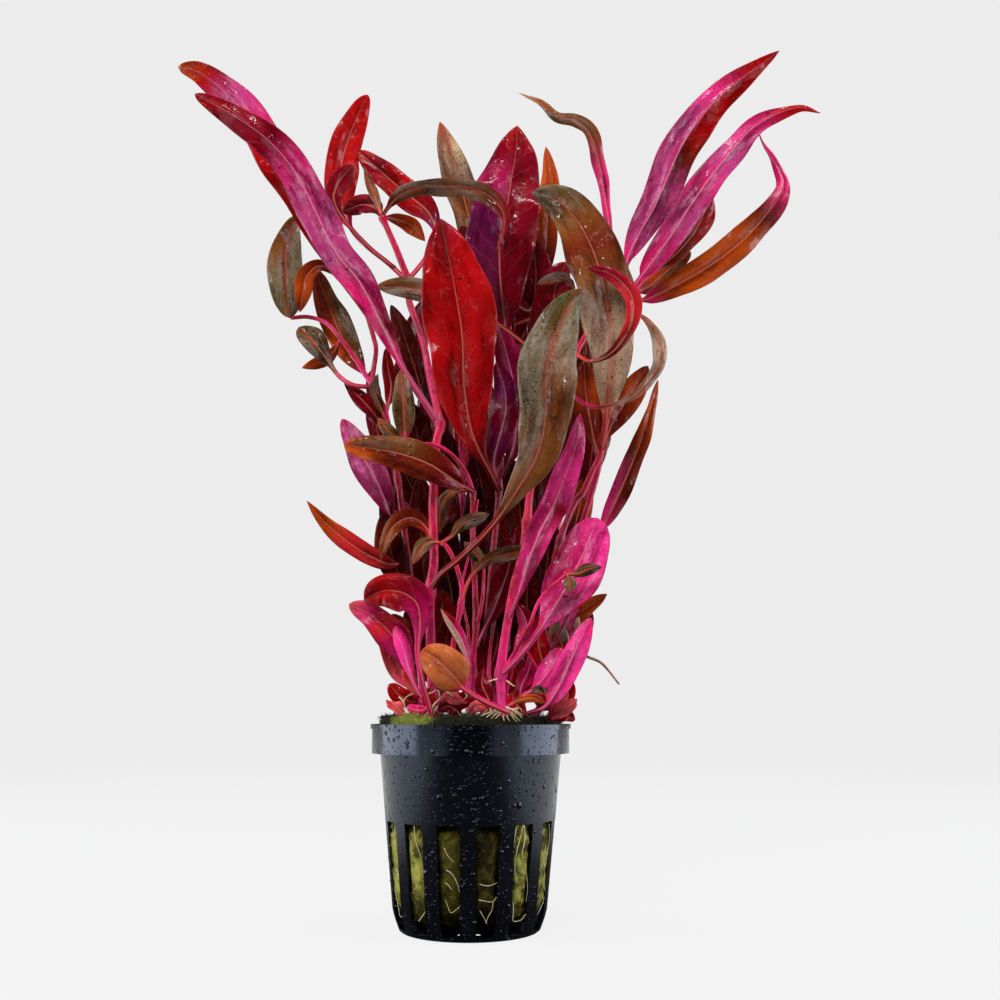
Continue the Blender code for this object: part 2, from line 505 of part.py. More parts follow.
def smooth_route(points):
    """Points evenly spaced along a smooth curve through the given ones"""
    fine = []
    padded = [2 * points[0] - points[1]] + points + [2 * points[-1] - points[-2]]
    for a, b, c, d in zip(padded, padded[1:], padded[2:], padded[3:]):
        for part in range(SPAN_STEPS):
            t = part / SPAN_STEPS
            fine.append(0.5 * (2 * b + (c - a) * t + (2 * a - 5 * b + 4 * c - d) * t * t
                               + (3 * b - a - 3 * c + d) * t ** 3))
    fine.append(points[-1].copy())
    lengths = [0.0]
    for before, after in zip(fine, fine[1:]):
        lengths.append(lengths[-1] + (after - before).length)
    return fine, lengths


def along(fine, lengths, distance):
    """The point and direction at a distance along a fine route"""
    index = 1
    while index < len(fine) - 1 and lengths[index] < distance:
        index += 1
    span = lengths[index] - lengths[index - 1]
    share = (distance - lengths[index - 1]) / span
    before, after = fine[index - 1], fine[index]
    near = fine[max(index - 3, 0)]
    far = fine[min(index + 2, len(fine) - 1)]
    return before.lerp(after, share), (far - near).normalized()


def bridge_rings(shape, rings):
    """Close a tube of rings with walls and two end faces"""
    for lower, upper in zip(rings, rings[1:]):
        for i in range(len(lower)):
            j = (i + 1) % len(lower)
            shape.faces.new((lower[i], lower[j], upper[j], upper[i]))
    shape.faces.new(list(reversed(rings[0])))
    shape.faces.new(rings[-1])


def finish_mesh(name, shape):
    bmesh.ops.recalc_face_normals(shape, faces=shape.faces)
    mesh = bpy.data.meshes.new(name)
    shape.to_mesh(mesh)
    shape.free()
    return mesh


def stem_mesh(name, plan):
    """A round stem, thicker at its foot and swollen at its joints"""
    points = [spot(*place) for place in plan.route]
    fine, lengths = smooth_route(points)
    joint_places = [lengths[index * SPAN_STEPS] for index in plan.joints]
    rows = max(3, len(plan.route) - 1)
    shape = bmesh.new()
    rings = []
    side = Vector((1, 0, 0))
    for row in range(rows + 1):
        distance = lengths[-1] * row / rows
        middle, heading = along(fine, lengths, distance)
        side = (side - side.dot(heading) * heading).normalized()
        across = heading.cross(side)
        radius = plan.thick / 2 * MM * (1 + (plan.taper - 1) * row / rows)
        near = min((abs(distance - place) for place in joint_places), default=1.0)
        if near < lengths[-1] / rows / 2:
            radius *= NODE_SWELL
        ring = []
        for corner in range(STEM_SIDES):
            turn = 2 * math.pi * corner / STEM_SIDES
            ring.append(shape.verts.new(
                middle + radius * (math.cos(turn) * side + math.sin(turn) * across)))
        rings.append(ring)
    bridge_rings(shape, rings)
    return finish_mesh(name, shape)


def blade_share(s, belly):
    """Half-width of a blade at s of its length, 1 at the belly and rounded to its tip"""
    power = BLADE_ROUNDING * belly / (1 - belly)
    return (s / belly) ** power * ((1 - s) / (1 - belly)) ** BLADE_ROUNDING


def leaf_mesh(name, plan, start, steps):
    """A leaf as a thin closed solid: stalk, folded blade and narrow tip"""
    points = [spot(*place) for place in plan.route]
    fine, lengths = smooth_route(points)
    shape = bmesh.new()
    rings = []
    for step in range(steps + 1):
        distance = start + (lengths[-1] - start) * step / steps
        share = distance / lengths[-1]
        middle, heading = along(fine, lengths, distance)
        sight = (EYE - middle).normalized()
        facing = (sight - sight.dot(heading) * heading).normalized()
        sideways = heading.cross(facing)
        place = share * (len(plan.roll) - 1)
        index = min(int(place), len(plan.roll) - 2) if len(plan.roll) > 1 else 0
        after = min(index + 1, len(plan.roll) - 1)
        turn = math.radians(plan.roll[index]
                            + (plan.roll[after] - plan.roll[index]) * (place - index))
        up = math.cos(turn) * facing + math.sin(turn) * sideways
        side = heading.cross(up)
        s = min(1.0, max(0.0, (share - plan.stalk) / (1 - plan.stalk)))
        narrow = STALK_WIDTH if s < plan.belly else TIP_WIDTH
        half = max(plan.width / 2 * blade_share(s, plan.belly), narrow / 2) * MM
        blade = min(1.0, STALK_THINNING * s)
        thick = (STALK_THICK + (BLADE_THICK - STALK_THICK) * blade) / 2 * MM
        thick *= min(1.0, TIP_THICK + TIP_THINNING * (1 - s))
        lift = plan.fold * max(0.0, half - STALK_WIDTH / 2 * MM)
        ring = [middle - side * half + up * lift, middle - up * thick,
                middle + side * half + up * lift, middle + up * thick]
        rings.append([shape.verts.new(corner) for corner in ring])
    bridge_rings(shape, rings)
    return finish_mesh(name, shape)


def fuse(body, mesh):
    """Join a closed mesh to a body with an exact union, applied at once"""
    guest = bpy.data.objects.new("guest", mesh)
    bpy.context.collection.objects.link(guest)
    union = body.modifiers.new("union", "BOOLEAN")
    union.operation = "UNION"
    union.solver = "EXACT"
    union.object = guest
    graph = bpy.context.evaluated_depsgraph_get()
    joined = bpy.data.meshes.new_from_object(body.evaluated_get(graph))
    body.modifiers.clear()
    finish = body.data.materials[0]
    body.data = joined
    joined.materials.clear()
    joined.materials.append(finish)
    bpy.data.objects.remove(guest, do_unlink=True)


def build_growth(name, pieces, colour):
    """One node: its first stem with further stems and small leaves fused to it"""
    body = add_object(name, stem_mesh(name, pieces[0]), colour)
    for piece in pieces[1:]:
        if isinstance(piece, Stem):
            fuse(body, stem_mesh("branch", piece))
        else:
            narrow = piece.width < NARROW_LEAF_WIDTH
            steps = NARROW_LEAF_STEPS if narrow else SMALL_LEAF_STEPS
            fuse(body, leaf_mesh("blade", piece, 0.0, steps))


def wall_profile():
    """The pot's outer face as (radius, height, slot half-angle) from floor centre to lip"""
    pitch = 2 * math.pi / SLOTS

    def side_slot(radius):
        return pitch / 2 - math.asin(BAR_WIDTH / 2 / radius)

    body = [(BASE_RADIUS, 0.0), (SLOT_BOTTOM_RADIUS, SLOT_BOTTOM), (BEND_RADIUS, BEND_HEIGHT),
            (SLOT_TOP_RADIUS, SLOT_TOP), (NECK_RADIUS, RIM_BOTTOM)]
    rim = [(RIM_RADIUS - LIP_DEPTH, RIM_BOTTOM), (RIM_RADIUS - LIP_DEPTH, POT_HEIGHT - LIP_HEIGHT),
           (RIM_RADIUS, POT_HEIGHT - LIP_HEIGHT), (RIM_RADIUS, POT_HEIGHT)]
    rows = [(FLOOR_SLOT_INNER, 0.0, FLOOR_SLOT_HALF_ANGLE),
            (FLOOR_SLOT_OUTER, 0.0, FLOOR_SLOT_HALF_ANGLE)]
    rows += [(radius, height, side_slot(radius)) for radius, height in body + rim]
    return rows


def build_pot():
    """The slotted pot: one sheet with openings, given its wall inwards"""
    pitch = 2 * math.pi / SLOTS
    rows = wall_profile()
    shape = bmesh.new()
    centre = shape.verts.new((0, 0, 0))
    rings = []
    for radius, height, half_angle in rows:
        ring = []
        for slot in range(SLOTS):
            bar = -math.pi / 2 + slot * pitch
            for turn in (bar + pitch / 2 - half_angle, bar + pitch / 2,
                         bar + pitch / 2 + half_angle):
                ring.append(shape.verts.new((radius * MM * math.cos(turn),
                                             radius * MM * math.sin(turn), height * MM)))
        rings.append(ring)
    count = len(rings[0])
    for i in range(count):
        shape.faces.new((centre, rings[0][(i + 1) % count], rings[0][i]))
    slotted = {(FLOOR_SLOT_INNER, 0.0), (rows[3][0], SLOT_BOTTOM), (rows[4][0], rows[4][1])}
    for (radius, height, _), lower, upper in zip(rows, rings, rings[1:]):
        for i in range(count):
            if (radius, height) in slotted and i % 3 in (0, 1):
                continue
            j = (i + 1) % count
            shape.faces.new((lower[i], lower[j], upper[j], upper[i]))
    pot = add_object("net_pot", finish_mesh("net_pot", shape), (0.012, 0.013, 0.016), 0.35)
    wall = pot.modifiers.new("wall", "SOLIDIFY")
    wall.thickness = WALL * MM
    wall.offset = -1.0
    wall.use_even_offset = True


def build_plug():
    """The plug of mineral wool, narrower than the pot's wall and mounded above its rim"""
    gap = WALL + PLUG_GAP
    neck = NECK_RADIUS - NECK_SLACK - gap
    profile = [(PLUG_FOOT_INNER, PLUG_BOTTOM), (PLUG_FOOT_RADIUS, PLUG_BOTTOM),
               (BEND_RADIUS - BEND_SLACK - gap, BEND_HEIGHT + 1.0),
               (SLOT_TOP_RADIUS - gap, SLOT_TOP), (neck, RIM_BOTTOM - 0.5),
               (neck, RIM_BOTTOM + 1.8), (SWELL_RADIUS, RIM_BOTTOM + 3.6),
               (PLUG_TOP_RADIUS, POT_HEIGHT - 0.6), (PLUG_TOP_RADIUS - 0.5, PLUG_TOP - 0.8),
               (PLUG_TOP_RADIUS - 2.4, PLUG_TOP), (CROWN_RADIUS, PLUG_TOP + 0.15)]
    shape = bmesh.new()
    rings = []
    for radius, height in profile:
        ring = []
        for corner in range(PLUG_SIDES):
            turn = 2 * math.pi * corner / PLUG_SIDES
            ring.append(shape.verts.new((radius * MM * math.cos(turn),
                                         radius * MM * math.sin(turn), height * MM)))
        rings.append(ring)
    bridge_rings(shape, rings)
    add_object("wool_plug", finish_mesh("wool_plug", shape), (0.17, 0.16, 0.03), 0.95)


def build_plant():
    for name, stems in STEMS.items():
        build_growth(name, stems + SMALL_LEAVES.get(name, []), PINK)
    for name, plan in LEAVES.items():
        add_object(name, leaf_mesh(name, plan, plan.clear * MM, plan.steps), plan.colour)
    for name, pieces in ROSETTES.items():
        build_growth(name, pieces, RED)
    for name, pieces in BACK_SHOOTS.items():
        build_growth(name, pieces, CRIMSON)


clear_scene()
build_pot()
build_plug()
build_plant()
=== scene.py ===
"""Looks of an Alternanthera reineckii in its slotted pot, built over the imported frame.

The pot stands on z = 0 with its axis on the world's Z axis. The plant is laid out as it is
seen by an eye in front of the pot, level with the rim: every point of a stem or leaf is
written as (column, row, fore), its place in a picture 1000 pixels square and how many
millimetres it stands in front of the pot's axis. Other sizes in the tables are millimetres.
"""

import math
from collections import namedtuple

import bmesh
import bpy
import numpy as np
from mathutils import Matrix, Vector, noise


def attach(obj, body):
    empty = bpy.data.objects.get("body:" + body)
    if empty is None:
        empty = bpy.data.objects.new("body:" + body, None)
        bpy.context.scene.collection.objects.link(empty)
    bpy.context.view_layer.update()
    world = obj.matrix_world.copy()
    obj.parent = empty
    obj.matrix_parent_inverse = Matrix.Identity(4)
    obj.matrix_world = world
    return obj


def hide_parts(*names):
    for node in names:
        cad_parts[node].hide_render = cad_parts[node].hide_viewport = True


bl_info = {
    "name": "Potted Alternanthera",
    "version": (1, 0, 0),
    "blender": (4, 5, 0),
    "location": "3D View > Sidebar > Plant",
    "description": "Builds a red aquarium plant in its slotted pot over the packed frame",
    "category": "Add Mesh",
}

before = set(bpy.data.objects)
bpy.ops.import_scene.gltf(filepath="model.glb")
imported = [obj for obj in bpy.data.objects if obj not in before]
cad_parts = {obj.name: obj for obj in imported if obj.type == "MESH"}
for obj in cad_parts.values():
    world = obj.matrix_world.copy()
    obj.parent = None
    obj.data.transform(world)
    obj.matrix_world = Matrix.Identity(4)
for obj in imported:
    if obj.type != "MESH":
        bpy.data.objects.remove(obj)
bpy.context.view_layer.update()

MM = 0.001

# Eye and picture that the plant is laid out from, in millimetres and pixels
EYE = np.array((7.3, -281.6, 51.2))
EYE_TILT = math.radians(11.0)
FOCAL_PIXELS = 1100.0
PICTURE_SIZE = 1000.0
SENSOR = 36.0

# Pot, in millimetres
SLOTS = 14
PITCH = 2 * math.pi / SLOTS
BAR_WIDTH = 3.8
SLOT_BOTTOM = 1.2
SLOT_TOP = 25.9
RIM_BOTTOM = 41.7
POT_HEIGHT = 48.7
BASE_RADIUS = 16.7
RIM_RADIUS = 25.0
LIP_HEIGHT = 1.1
LIP_DEPTH = 0.4
FLOOR_SLOT_INNER = 7.0
FLOOR_SLOT_OUTER = 13.5
FLOOR_SLOT_HALF_ANGLE = math.radians(6.5)
PLUG_TOP = 51.1

# A stem: its thickness at the foot, the share of it left at the end, and the points of its
# route where it is swollen
Stem = namedtuple("Stem", "route thick taper joints look", defaults=(0.8, (), "stem"))

# A leaf from its joint to its tip: stalk is the share of its length that is stalk, belly where
# the blade is widest, roll the turn of its face away from the eye in degrees, evenly spaced
# along it, fold how far its edges stand above the midrib and wave how much they ripple
Leaf = namedtuple("Leaf", "route width look stalk belly roll fold wave",
                  defaults=(0.12, 0.5, (0,), 0.15, 1.0))

# Colours of a leaf from the foot of its blade to its tip, left/right of the midrib where
# they differ: top face, underside, the thin rim of both, and the stalk. A stem has one run.
Look = namedtuple("Look", "top under rim stalk", defaults=("", "", ""))
LOOKS = {
    "stem": Look("rose hot_pink hot_red hot_red hot_pink hot_red hot_red"),
    "mauve": Look("olive olive olive red",
        "hot_pink crimson/magenta pink/hot_pink mauve mauve pink crimson crimson red", "magenta",
        "hot_pink"),
    "long_left": Look("red red red red", "crimson red red red red red red pink mauve red orange",
        "red", "hot_pink"),
    "red": Look("coral red red red red", "crimson red red", "red", "hot_pink"),
    "red_purple": Look("purple crimson red red crimson red", "crimson red red", "red", "hot_pink"),
    "olive_red_end": Look("bronze olive olive bronze olive rust crimson crimson",
        "coral crimson crimson", "coral", "crimson"),
    "taupe_tip": Look("dark_olive bronze taupe bronze taupe tan orange", "rust rust rust", "taupe",
        "crimson"),
    "tall_crimson":
        Look("maroon plum/crimson plum/crimson purple/crimson magenta/crimson crimson red",
        "crimson crimson", "crimson", "magenta"),
    "big_red": Look("crimson red red red red red crimson", "crimson crimson", "coral", "crimson"),
    "big_olive": Look("dark_olive bronze taupe/bronze sage/bronze sage/taupe olive/sage green",
        "mauve crimson", "sage", "crimson"),
    "drooping": Look("tan tan tan tan taupe bronze rust bronze olive sage", "mauve crimson",
        "sage", "coral"),
    "curling": Look("sage rust coral crimson crimson", "coral red red crimson", "coral", "coral"),
    "ring": Look("coral taupe taupe sage tan sage orange", "coral sage sage orange", "coral",
        "hot_pink"),
    "rust": Look("rust rust orange rust", "crimson rust rust", "orange", "crimson"),
    "dark_rust": Look("maroon rust rust maroon", "crimson maroon", "rust", "crimson"),
    "orange_pink": Look("pink pink/rust rust orange orange", "pink pink orange", "coral",
        "hot_pink"),
    "top_right": Look("crimson red", "mauve mauve mauve rust/mauve red/mauve red/pink red red",
        "coral", "hot_pink"),
    "right_pink": Look("olive olive", "hot_pink pink mauve pink mauve pink red red", "magenta",
        "hot_pink"),
    "folded": Look("rust rust red crimson", "crimson rust", "crimson", "hot_pink"),
    "low_orange": Look("rust orange orange orange rust hot_pink pink pink",
        "hot_pink pink pink pink", "magenta", "hot_pink"),
    "thin_curled": Look("magenta pink pink bronze olive tan", "magenta pink magenta", "pink",
        "magenta"),
    "orange_tip": Look("maroon rust orange orange", "rust rust", "rust", "crimson"),
    "orange": Look("rust orange orange orange", "crimson orange", "orange", "hot_pink"),
    # The dark and maroon looks paint the shade on leaves deep among the stems
    "dark": Look("maroon crimson maroon", "maroon maroon", "crimson", "crimson"),
    "hanging": Look("taupe tan/bronze sage/bronze sage olive", "rust mauve", "sage", "crimson"),
    "left_brown": Look("rust orange/olive rust/dark_olive rust", "rust rust", "rust", "hot_pink"),
    "dark_olive": Look("dark_olive dark_olive olive", "crimson rust", "coral", "hot_pink"),
    "grey": Look("taupe dark_olive taupe", "crimson crimson", "taupe", "hot_pink"),
    "taupe": Look("bronze taupe taupe taupe", "mauve rust", "taupe", "crimson"),
    "across": Look("crimson crimson rust rust/bronze rust/bronze orange/bronze orange",
        "crimson rust", "orange", "crimson"),
    "pink_left": Look("crimson red", "crimson pink mauve mauve mauve mauve pink", "hot_pink",
        "crimson"),
    "pointing": Look("coral coral coral orange orange", "crimson red", "orange", "coral"),
    "dark_glossy": Look("coral rust rust bronze rust", "crimson rust", "crimson", "coral"),
    "purple": Look("crimson purple", "crimson purple crimson purple crimson", "magenta",
        "magenta"),
    "magenta": Look("crimson crimson", "magenta hot_pink magenta magenta", "hot_pink", "crimson"),
    "purple_low": Look("crimson maroon", "magenta magenta crimson magenta", "magenta", "magenta"),
    "slender": Look("crimson red", "hot_pink pink pink crimson/pink rose pink pink", "hot_pink",
        "hot_pink"),
    "broad": Look("crimson crimson", "rose pink pink/magenta rose/magenta rose/pink rose",
        "hot_pink", "hot_pink"),
    "hot": Look("hot_pink hot_pink", "hot_pink rose rose rose hot_pink", "pink", "hot_pink"),
    "round": Look("coral peach peach peach peach orange", "rust rust", "coral", "hot_pink"),
    "curled_left": Look("rose hot_pink pink magenta crimson red crimson", "magenta pink coral",
        "coral", "hot_pink"),
    "coral": Look("hot_pink salmon coral salmon", "magenta pink salmon", "salmon", "hot_pink"),
    "young": Look("hot_pink salmon salmon coral/salmon salmon", "hot_pink salmon salmon salmon",
        "salmon", "hot_pink"),
    "crimson": Look("crimson crimson crimson", "magenta magenta crimson", "crimson", "magenta"),
    "small_olive": Look("bronze olive dark_olive olive", "rust coral", "rust", "coral"),
    "left_lobe": Look("rose pink magenta coral pink salmon", "magenta coral", "coral", "rose"),
    "rose": Look("hot_pink hot_pink", "hot_pink rose rose rose hot_pink", "rose", "hot_pink"),
    "red_edge": Look("crimson crimson", "hot_pink pink/tan hot_pink/tan crimson/tan red/tan",
        "pink", "hot_pink"),
    "sage_rust": Look("coral rust rust/sage sage sage", "rust rust", "sage", "hot_pink"),
    "tan": Look("tan sage tan tan", "sage tan", "tan", "tan"),
    "crimson_pink": Look("crimson crimson", "crimson magenta/pink crimson/pink crimson", "coral",
        "hot_pink"),
    "maroon": Look("maroon maroon rust maroon", "maroon maroon", "maroon", "crimson"),
    "small_green": Look("green green sage", "sage green", "green", "rust"),
}

# Stems seen in front, each with its side branches and the small leaves that grow on it
STEMS = {
    "stem_left": [
        Stem([(433, 712, 10), (431, 650, 11), (430, 592, 12), (434, 560, 12), (433, 500, 12),
            (437, 440, 11), (440, 424, 10), (431, 384, 7), (424, 346, 5), (415, 318, 3),
            (409, 301, 2), (407, 279, 2), (399, 256, 3), (391, 237, 4), (382, 217, 4)], 2.7, 0.6,
            (2, 6, 11, 14)),
        Leaf([(382, 217, 4), (377, 202, 2), (370, 184, 1), (364, 167, 1)], 2.6, "small_olive"),
        Leaf([(382, 217, 4), (374, 208, 1), (362, 205, -1), (342, 212, -2)], 6.4, "dark", 0.1,
            roll=(30,)),
        Leaf([(382, 217, 4), (397, 219, 2), (412, 226, 0), (425, 241, -1)], 4.6, "orange", 0.08,
            roll=(20,)),
        Leaf([(395, 268, 0), (370, 248, 2), (346, 222, 6), (334, 200, 8), (339, 182, 8),
            (353, 165, 8)], 5.6, "crimson", 0.5, 0.6),
    ],
    "stem_fork": [
        Stem([(424, 712, 0), (418, 640, 0), (408, 560, 1), (398, 480, 2), (386, 414, 2),
            (379, 399, 2), (372, 385, 2), (376, 352, 1), (374, 339, 0), (368, 318, -1),
            (364, 308, -1)], 2.1, 0.6, (2, 3, 6)),
        Stem([(372, 385, 2), (356, 360, 2), (341, 339, 2), (326, 323, 1), (308, 317, 1),
            (291, 318, 1)], 1.5, 0.7),
        Leaf([(385, 420, 2), (378, 402, 4), (374, 388, 5), (378, 374, 5)], 3.0, "small_olive",
            0.1, roll=(20,)),
        Leaf([(386, 414, 2), (391, 388, 1), (388, 368, 0), (386, 348, 0)], 3.6, "red", 0.15, 0.4),
        Leaf([(386, 432, 2), (374, 414, 3), (360, 398, 4), (344, 382, 4)], 4.4, "dark", 0.1,
            roll=(20,)),
        Leaf([(341, 339, 2), (333, 352, 1), (322, 361, 1), (302, 368, 1)], 3.6, "orange"),
        Leaf([(414, 605, 2), (400, 578, 3), (390, 548, 4), (384, 512, 4)], 8.0, "dark_rust",
            roll=(10,)),
    ],
    "stem_salmon": [
        Stem([(455, 712, 13), (453, 651, 14), (456, 632, 15), (461, 605, 15), (462, 588, 15),
            (456, 565, 15), (447, 547, 15), (441, 543, 15)], 1.5, 0.8, (3,)),
        Leaf([(441, 543, 15), (430, 542, 16), (421, 549, 17), (413, 564, 17)], 3.6, "small_olive",
            0.1, roll=(20,)),
        Leaf([(441, 543, 15), (452, 536, 16), (463, 524, 17), (489, 514, 17)], 3.6, "small_olive",
            0.15, 0.6, (10,)),
        Leaf([(461, 605, 15), (466, 587, 16), (475, 571, 17), (492, 558, 17), (532, 548, 17)],
            3.8, "small_olive", 0.3, 0.6, (10,)),
    ],
    "stem_centre": [
        Stem([(472, 712, 6), (473, 679, 6), (474, 648, 6), (476, 624, 6), (475, 587, 7),
            (473, 540, 7), (473, 491, 8)], 1.6, 0.9, (3, 6)),
        Stem([(473, 491, 8), (466, 473, 11), (455, 458, 14), (444, 449, 15), (431, 444, 15.5),
            (416, 445, 15.5), (406, 441, 15)], 1.2),
        Stem([(476, 624, 6), (480, 614, 7.5), (483, 592, 8), (484, 568, 8)], 1.1, 0.7),
        Leaf([(473, 491, 8), (458, 490, 9), (446, 497, 9), (440, 512, 9), (440, 534, 9)], 3.2,
            "small_olive", 0.1, roll=(20,)),
        Leaf([(406, 441, 15), (398, 438, 16), (388, 430, 17), (378, 418, 17)], 3.4, "small_green",
            0.1),
        Leaf([(484, 568, 8), (479, 558, 9), (471, 549, 9), (464, 542, 9)], 3.4, "small_green",
            0.1),
        Stem([(466, 705, 9), (470, 670, 9), (468, 630, 9), (462, 590, 8), (470, 550, 8),
            (478, 500, 8)], 0.9, 0.7),
        Stem([(488, 706, 2), (490, 650, 1), (498, 590, 1), (494, 530, 0)], 1.1, 0.7),
    ],
    "stem_right": [
        Stem([(503, 712, 14), (501, 674, 14), (506, 632, 14), (514, 587, 13), (522, 555, 12),
            (527, 523, 12), (530, 493, 11), (538, 460, 10), (548, 430, 9), (562, 390, 8),
            (575, 355, 8), (588, 332, 7)], 2.6, 0.6, (1, 5, 10)),
        Stem([(502, 674, 14), (516, 650, 18), (530, 624, 24), (537, 605, 25), (548, 590, 25),
            (567, 574, 25)], 1.0),
        Leaf([(567, 574, 25), (578, 573, 25), (589, 569, 25), (602, 567, 25)], 2.8, "small_olive"),
        Leaf([(567, 574, 25), (569, 580, 25), (570, 585, 25), (570, 592, 25)], 3.2, "small_green"),
    ],
    "stem_arching": [
        Stem([(520, 712, 2), (530, 660, 2), (545, 600, 2), (560, 540, 3), (575, 502, 4),
            (583, 492, 5), (592, 472, 6), (598, 460, 7), (601, 450, 8)], 1.9, 0.8, (3, 8)),
        Leaf([(545, 600, 2), (558, 612, 4), (578, 612, 7), (607, 594, 8)], 5.0, "orange", 0.15,
            roll=(20,)),
        Leaf([(530, 660, 2), (528, 630, -1), (527, 595, -3), (531, 548, -4)], 8.0, "dark",
            roll=(10,)),
    ],
    "stem_outer": [
        Stem([(517, 711, -7), (540, 640, -7), (570, 560, -5), (595, 480, -3), (612, 400, -1),
            (625, 330, 2), (630, 292, 3)], 2.0, 0.8, (2, 4, 6)),
        Leaf([(630, 292, 3), (646, 288, 0), (668, 270, -1), (691, 252, -2)], 6.0, "left_brown",
            roll=(10,)),
        Leaf([(570, 560, -5), (573, 535, -8), (579, 510, -10), (588, 475, -11)], 7.0, "rust",
            roll=(10,)),
    ],
    "stem_middle": [
        Stem([(483, 712, -4), (489, 600, -1), (499, 490, 3), (504, 400, 0), (508, 345, -2),
            (511, 300, -4)], 1.9, 0.7, (2, 4)),
        Leaf([(508, 345, -2), (497, 310, -2), (482, 270, -2), (461, 226, -2)], 9.0, "dark", 0.1,
            0.6),
        Leaf([(514, 325, -3), (545, 312, -3), (573, 290, -2), (562, 277, 0), (537, 284, 2)], 3.0,
            "small_olive", 0.5, 0.7),
    ],
}

